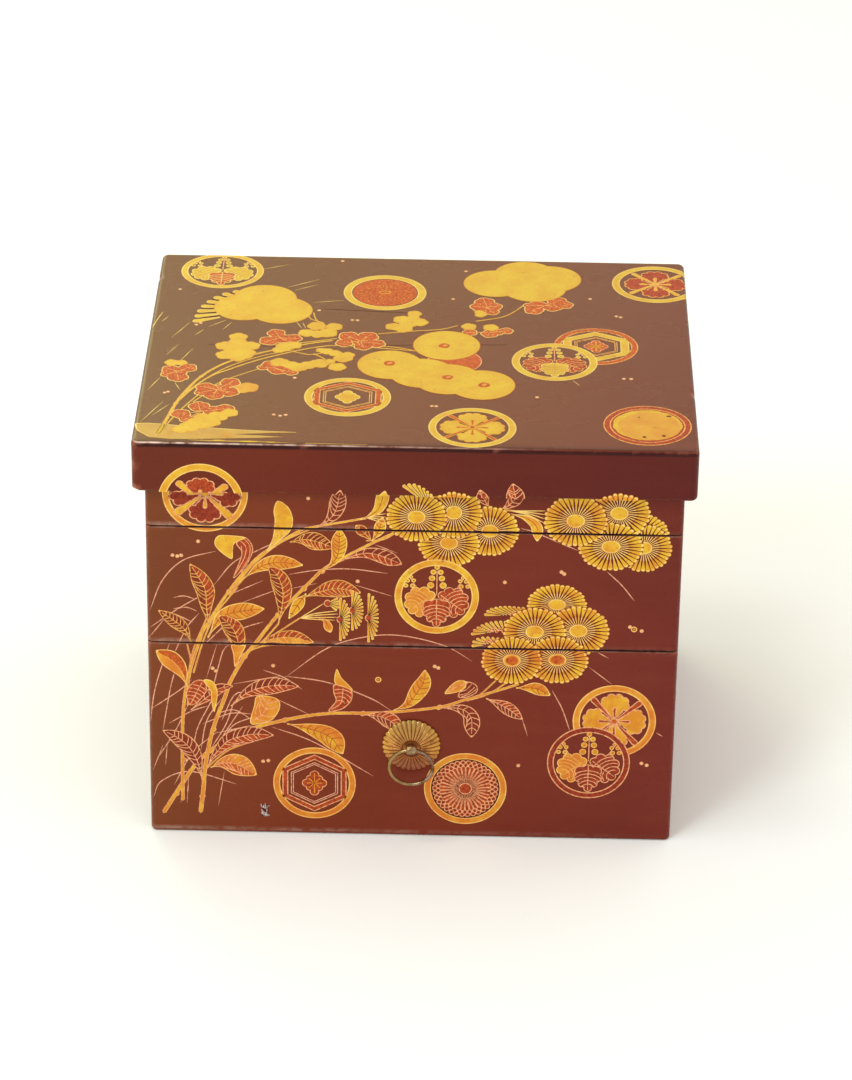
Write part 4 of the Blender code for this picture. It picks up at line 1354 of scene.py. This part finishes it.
def top_stems(c):
    ground = np.reshape(
        (-130, -85, -124, -85.4, -112, -86.8, -102, -88, -80, -90.5, -55, -92, -68, -93.2,
         -84, -95, -72, -95.8, -60, -96.8, -74, -98.4, -88, -99.6, -103, -100.6, -112, -101,
         -122, -99.5, -128, -93), (-1, 2))
    stripe = ribbon((-104, -101.6, -88, -102, -70, -102.2, -54, -102.9), 1.3, 0.5, 0.3)
    c.paint("pale", [ribbon(np.vstack([(-129, -86.4), ground[1:6]]), 0.55, 0.3),
                     ribbon((-129, -86.4, -127.6, -92.6, -122, -98.8), 0.5, 0.3)], 1)
    stipple(c, [(-113, -94, 7), (-99, -95, 6.5), (-86, -95, 4)], "amber", 34, 11, 0.4)
    c.paint("dull", [ground, stripe, ribbon((-50, -102.8, -22, -103), 0.6, 0.3)])
    c.paint("gold", [oval(-76, -102.1, 4.6, 0.7), oval(-90, -101.6, 3, 0.6),
                     oval(-66, -102.4, 2.4, 0.5)], 1)
    stem(c, (-118, -95, -115, -80, -112, -64, -108, -50, -102, -35, -92.5, -21, -80, -11,
             -66, -3, -52, 3.5, -42, 7), 1.8, 1.1, (-112, -64, -102, -35, -80, -11), "straw")
    stem(c, (-112, -64, -106, -49.5, -98, -35, -89, -26.5, -77, -16.5, -62, -7, -50, -1,
             -40, 1.6, -24, 0.4, 0, -3), 1.1, 0.8, (), "straw")
    for path in LID_TWIGS:
        stem(c, path, 0.8, 0.65, (), "straw")
    for path in LID_GRASS:
        grass(c, path, 0.42, "pale")
    dots(c, LID_DEW)
    for crack in ((-101, 0.4, -85, 0, -72, -0.4, -60, -0.6),
                  (-22, 2, -3, 4, 15, 4.8, 30, 5.5, 42, 6), (-48, 43, -30, 41.6, -5, 40)):
        grass(c, crack, 0.32, "dark")


# ---- the sides and the back ---------------------------------------------------------------
# start and tip of each leaf's spine, its width and paint, and how far it bends
SPRAY = (
    (-4, 62, -20, 78, 8.4, "red", 2), (6, 80, -4, 100, 8.8, "amber", 2),
    (14, 92, 34, 98, 8.4, "red", 2.4), (-10, 40, -34, 46, 9, "amber", -3),
    (-14, 26, 10, 34, 8.4, "red", 2))


def flipped(numbers, flip):
    """A path of x, y, x, y and so on, mirrored left to right where flip is -1."""
    return np.reshape(numbers, (-1, 2)) * (flip, 1)


def decorate_rest():
    """Plainer work in the same manner, round the sides and the back."""
    right, left, back = (side_canvas(side) for side in (1, 3, 2))
    crests(right, ((paulownia, -52, 128, (CREST, "red", "amber", "red"), (CREST, 3.4, "gold")),
                   (four_lobes, 42, 46, ("red", "gold"), (CREST, 3.4, "amber"))))
    crests(left, ((tortoiseshell, -40, 132, (16.2, 2.8, "red", "rose", "gold"),
                   (CREST, 3.3, "gold")), (many_petals, 48, 50, (), (CREST, 3.4, "amber"))))
    crests(back, ((paulownia, 58, 134, (CREST, "amber", "red", "red"), (CREST, 3.4, "gold")),
                  (tortoiseshell, -78, 40, (16.2, 2.8, "red", "rose", "red"),
                   (CREST, 3.3, "amber"))))
    for c, flip, flowers in ((right, 1, ((20, 128), (34, 118))), (left, -1, ((-6, 92), (12, 84))),
                             (back, 1, ((-6, 150), (12, 142), (-70, 132)))):
        for x, y in flowers:
            chrysanthemum(c, x, y, 14.2, 13)
        for x, y, tip_x, tip_y, width, fill, bend in SPRAY:
            middle = ((x + tip_x) / 2 - 0.12 * bend * (tip_y - y),
                      (y + tip_y) / 2 + 0.12 * bend * (tip_x - x))
            leaf(c, flipped((x, y, *middle, tip_x, tip_y), flip), width, fill,
                 "brick" if fill == "red" else "gold")
        stem(c, flipped((-22, 10, -12, 36, -2, 62, 8, 84, 18, 104, 24, 118), flip), 1.8, 1.1)
        for shift in (0, 9, 20):
            grass(c, flipped((-24 - shift, 12, -34 - shift, 40, -50, 62 - shift), flip))
        dots(c, flipped((-30, 92, -28, 93, 62, 88, 64, 87), flip))


# ---- the cord fittings --------------------------------------------------------------------
WALL_FACE = BASE_HIGH.y
PETALS = 32
ROSETTE_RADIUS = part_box("front_rosette")[1].x / MM
ROSETTE_RIM, ROSETTE_CREST = 0.9, 4.6
MIDDLE_RADIUS, MIDDLE_HEIGHT = 4.6, 3.3
HINGE_OUT, HINGE_RISE = 6.5, 0.6
RING_WIRE, RING_HALF_WIDTH, RING_HALF_HEIGHT = 0.9, 10.3, 9.4


def on_wall(side, x, y, z):
    """From a fitting's own space, +Z out of the wall and +Y up, to the row frame."""
    return -side * x, side * (WALL_FACE + z), FITTING_HEIGHT + y


def dress_rosette(name, side):
    """Rows from under the rim out and over the petals to the sunk middle."""
    count, rows, looks = PETALS * 12, [], {"painted_shade_and_stains": [], "patina_and_painted_reflection": [], "olive": []}
    slope = ROSETTE_RADIUS - MIDDLE_RADIUS

    def row(radius, height, flute=0.0, scallop=0.0, dark=0.0):
        for k in range(count):
            low = 1 - abs(math.sin(math.pi * PETALS * k / count)) ** 0.7
            r = radius - scallop * low
            angle = math.tau * k / count
            rows.append(on_wall(side, r * math.cos(angle), r * math.sin(angle),
                                height - flute * low))
            near = 1.0 - (radius - MIDDLE_RADIUS) / slope
            below = max(0.0, -math.sin(angle)) * radius / ROSETTE_RADIUS
            above = max(0.0, math.sin(angle)) * radius / ROSETTE_RADIUS
            # Painted shading in the grooves between the petals. A warm oxide towards the sunk middle,
            # partly
            # a painted reflection of the red lacquer; a painted reflection of the red box and painted
            # shading
            # on the lower petals; a pale olive painted reflection on the upper petals.
            looks["painted_shade_and_stains"].append(min(1.0, dark + 0.9 * low * min(1.0, flute / 0.3)))
            looks["patina_and_painted_reflection"].append(min(0.95, max(0.0, 0.65 * near) + 1.05 * below ** 1.5))
            looks["olive"].append(0.8 * above ** 1.4)

    row(1.5, 0.3)
    row(ROSETTE_RADIUS - 0.2, 0.3, 0.0, 0.55)
    row(ROSETTE_RADIUS, 0.5, 0.0, 0.55)
    for share in np.linspace(1.0, 0.0, 26):
        height = ROSETTE_RIM + (ROSETTE_CREST - ROSETTE_RIM) * (1.0 - share ** 1.7)
        flute = 0.5 * math.sin(math.pi * min(0.95, 0.22 + 0.72 * share))
        row(MIDDLE_RADIUS + slope * share, height, flute, 0.55 * share ** 8)
    row(MIDDLE_RADIUS - 0.35, ROSETTE_CREST - 0.35, 0.2)
    # The hub, with a little painted shading at its middle.
    for radius, lift, dark in ((MIDDLE_RADIUS - 0.6, 0, 0), (3, 0, 0), (2.8, 0.25, 0),
                               (2.4, 0.25, 0), (2.2, 0, 0.2), (1.5, 0, 0.2)):
        row(radius, MIDDLE_HEIGHT + lift, dark=dark)
    make_piece(name + "_petals", rows, grid_faces(len(rows) // count, count, True), [GILT],
               "box_stack", node=name, smooth=50, attributes=looks)


def tube(path, radius, sides, closed=False, squash=1.0):
    """Points and faces of a round wire along a path of (place, normal) pairs, where the
    normal lies across the wire; squash flattens it along the normal."""
    vertices = []
    count = len(path)
    for i, (place, normal) in enumerate(path):
        ahead = Vector(path[(i + 1) % count][0]) - Vector(path[i - 1][0])
        if not closed and i in (0, count - 1):
            ahead = Vector(path[min(i + 1, count - 1)][0]) - Vector(path[max(i - 1, 0)][0])
        up = Vector(normal).normalized()
        across = ahead.normalized().cross(up)
        size = radius[i] if isinstance(radius, (list, tuple)) else radius
        for k in range(sides):
            angle = math.tau * k / sides
            vertices.append(Vector(place) + up * (size * squash * math.sin(angle))
                            + across * (size * math.cos(angle)))
    return vertices, grid_faces(count, sides, closed)


def make_wire(name, ending, side, body, smooth, parts, stains, olive):
    """One silvered piece from its tubes. stains are the strength, breadth and seed of its
    dark patches, and olive(x) how much of that colour it has there."""
    vertices, faces = [], []
    for some, more in parts:
        faces += [tuple(i + len(vertices) for i in face) for face in more]
        vertices += list(some)
    strength, breadth, seed = stains
    olives = [olive(v[0]) for v in vertices]
    vertices = [on_wall(side, *v) for v in vertices]
    # Dark tarnish stains in patches.
    darkening = [strength * max(0.0, lumpy(v, breadth, seed)) for v in vertices]
    make_piece(name + ending, vertices, faces, [SILVER], body, node=name,
               smooth=smooth, attributes={"painted_shade_and_stains": darkening, "olive": olives})


def dress_eye(name, side):
    """The split pin: a flat eye round the ring's axis, its stem and its two clenched legs."""
    eye, widths, count, radius = [], [], 40, 2.02
    for k in range(count):
        angle = math.tau * k / count
        out = Vector((0, math.cos(angle), math.sin(angle)))
        eye.append((out * radius + Vector((0, HINGE_RISE, HINGE_OUT)), out))
        widths.append(2.3 + 0.25 * math.cos(angle + 0.6))
    parts = [tube(eye, widths, 16, True, 0.25)]
    stem_path = [((0, 0, z), (1, 0, 0)) for z in (HINGE_OUT - 1.9, 2.0, -2.0, -5.9)]
    parts.append(tube(stem_path, 1.1, 14))
    for way in (1, -1):
        leg = [((0, way * y, z), (0, 0, 1) if y > 1 else (0, way, 1))
               for y, z in ((0.1, -5.4), (1.4, -5.7), (4.5, -5.7), (7.9, -5.7))]
        parts.append(tube(leg, [1.2, 1.2, 1.2, 0.8], 12, False, 0.34))
    make_wire(name, "_loop", side, "box_stack", 50, parts, (0.25, 1.5, 4),
              lambda x: min(0.8, 0.2 + 0.25 * abs(x)))


def dress_ring(name, side):
    """The ring, hammered a little uneven."""
    count, path, sizes = 120, [], []
    for k in range(count):
        angle = math.tau * k / count
        place = (RING_HALF_WIDTH * math.sin(angle),
                 HINGE_RISE + RING_HALF_HEIGHT * (math.cos(angle) - 1.0), HINGE_OUT)
        path.append((place, (0, 0, 1)))
        sizes.append(RING_WIRE * (0.97 + 0.03 * lumpy(place, 4.0, 2)))
    make_wire(name, "_wire", side, name, 60, [tube(path, sizes, 18, True)], (0.35, 5.0, 8),
              lambda x: min(0.85, max(0.0, 0.4 - 0.055 * x)))


# ---- stage, light and camera --------------------------------------------------------------
def build_stage():
    """A pale sweep under and behind the box."""
    near, far, half, bend, radius = -3.0, 3.2, 4.0, 1.6, 1.2
    profile = [(near, 0.0), (bend, 0.0)]
    profile += [(bend + radius * math.sin(a), radius - radius * math.cos(a))
                for a in np.linspace(0.1, math.pi / 2, 14)]
    profile.append((bend + radius, far))
    mesh = bpy.data.meshes.new("floor")
    mesh.from_pydata([(x, y, z) for y, z in profile for x in (-half, half)], [],
                     [(2 * i, 2 * i + 1, 2 * i + 3, 2 * i + 2) for i in range(len(profile) - 1)])
    mesh.shade_smooth()
    f = Finish("studio paper")
    body = f.mix(f.spread((1.3, 2), 0.3, 0.7), srgb(250, 252, 249), srgb(247, 249, 246))
    body = f.mix(f.spread(f.along("Y"), 0.1, 1.5), body, srgb(247, 250, 245))
    mesh.materials.append(f.set(Base_Color=body, Roughness=0.9))
    floor = bpy.data.objects.new("floor", mesh)
    bpy.context.scene.collection.objects.link(floor)


def add_light(name, place, target, width, height, power, colour=(1.0, 1.0, 1.0)):
    data = bpy.data.lights.new(name, 'AREA')
    data.shape = 'RECTANGLE'
    data.size, data.size_y, data.energy, data.color = width, height, power, colour
    lamp = bpy.data.objects.new(name, data)
    lamp.visible_camera = False
    lamp.location = place
    lamp.rotation_euler = (Vector(target) - Vector(place)).to_track_quat('-Z', 'Y').to_euler()
    bpy.context.scene.collection.objects.link(lamp)


def light_studio():
    world = bpy.data.worlds.new("studio")
    world.use_nodes = True
    sky = world.node_tree.nodes["Background"]
    sky.inputs["Color"].default_value = (1.0, 0.94, 0.885, 1.0)
    sky.inputs["Strength"].default_value = 0.88
    bpy.context.scene.world = world
    bpy.context.scene.view_settings.view_transform = 'Standard'
    add_light("key", (-1.05, -1.45, 1.9), (0, 0, 0.1), 0.7, 0.7, 17.5, (0.86, 1.0, 1.0))
    add_light("overhead", (0.2, 0.3, 2.4), (0, 0, 0), 2.8, 2.6, 5.5)
    add_light("glint", (-0.55, -0.3, 2.3), (0, 0, 0.1), 0.5, 0.5, 6.0)
    add_light("sheen", (-0.5, 1.0, 0.75), (0, 0, 0.2), 0.5, 0.5, 2.8, (0.8, 1.0, 0.45))


RISE, YAW, ROLL = 28.0, 0.6, 0.83    # the camera's angles, in degrees
LENS = 143.8                         # mm, before a sensor 36 mm wide
AIM, DISTANCE = (0, 0, 0.1), 2.113   # m
TO_RIGHT, TO_TOP = 0.0045, 0.0071    # m


def place_camera():
    """Looks down at the front, through a long lens, with a slight tilt."""
    rise, yaw, roll = (math.radians(a) for a in (RISE, YAW, ROLL))
    back = Vector((math.sin(yaw) * math.cos(rise), -math.cos(yaw) * math.cos(rise),
                   math.sin(rise)))
    right = Vector((math.cos(yaw), math.sin(yaw), 0.0))
    up = back.cross(right)
    across = right * math.cos(roll) + up * math.sin(roll)
    upward = up * math.cos(roll) - right * math.sin(roll)
    data = bpy.data.cameras.new("camera")
    data.sensor_width, data.lens = 36.0, LENS
    camera = bpy.data.objects.new("camera", data)
    place = Vector(AIM) + back * DISTANCE + right * TO_RIGHT + up * TO_TOP
    turn = Matrix((across, upward, back)).transposed().to_4x4()
    camera.matrix_world = Matrix.Translation(place) @ turn
    bpy.context.scene.collection.objects.link(camera)
    bpy.context.scene.camera = camera


# ---- the whole scene ----------------------------------------------------------------------
dress_lid()
dress_tray("upper_tray", UPPER_SEAM + HALF_GAP, UPPER_HIGH.z, UPPER_LOW.z + TRAY_FLOOR,
           UPPER_SEAM + HALF_GAP - UPPER_LOW.z)
dress_tray("middle_tray", LOWER_SEAM + HALF_GAP, MIDDLE_HIGH.z, MIDDLE_LOW.z + TRAY_FLOOR,
           LOWER_SEAM + HALF_GAP - MIDDLE_LOW.z)
dress_tray("bottom_box", BASE_LOW.z, BASE_HIGH.z, BOX_FLOOR, 0.0)
for canvas, steps in (
        (side_canvas(0), (front_crests, front_flowers, front_plates, front_leaves, front_stems)),
        (top_canvas(), (top_crests, top_clouds, top_leaves, top_stems))):
    for step in steps:
        step(canvas)
decorate_rest()
lay_decoration()
for prefix, way in (("front", -1), ("back", 1)):
    dress_rosette(prefix + "_rosette", way)
    dress_eye(prefix + "_eye", way)
    dress_ring(prefix + "_ring", way)
build_stage()
light_studio()
place_camera()
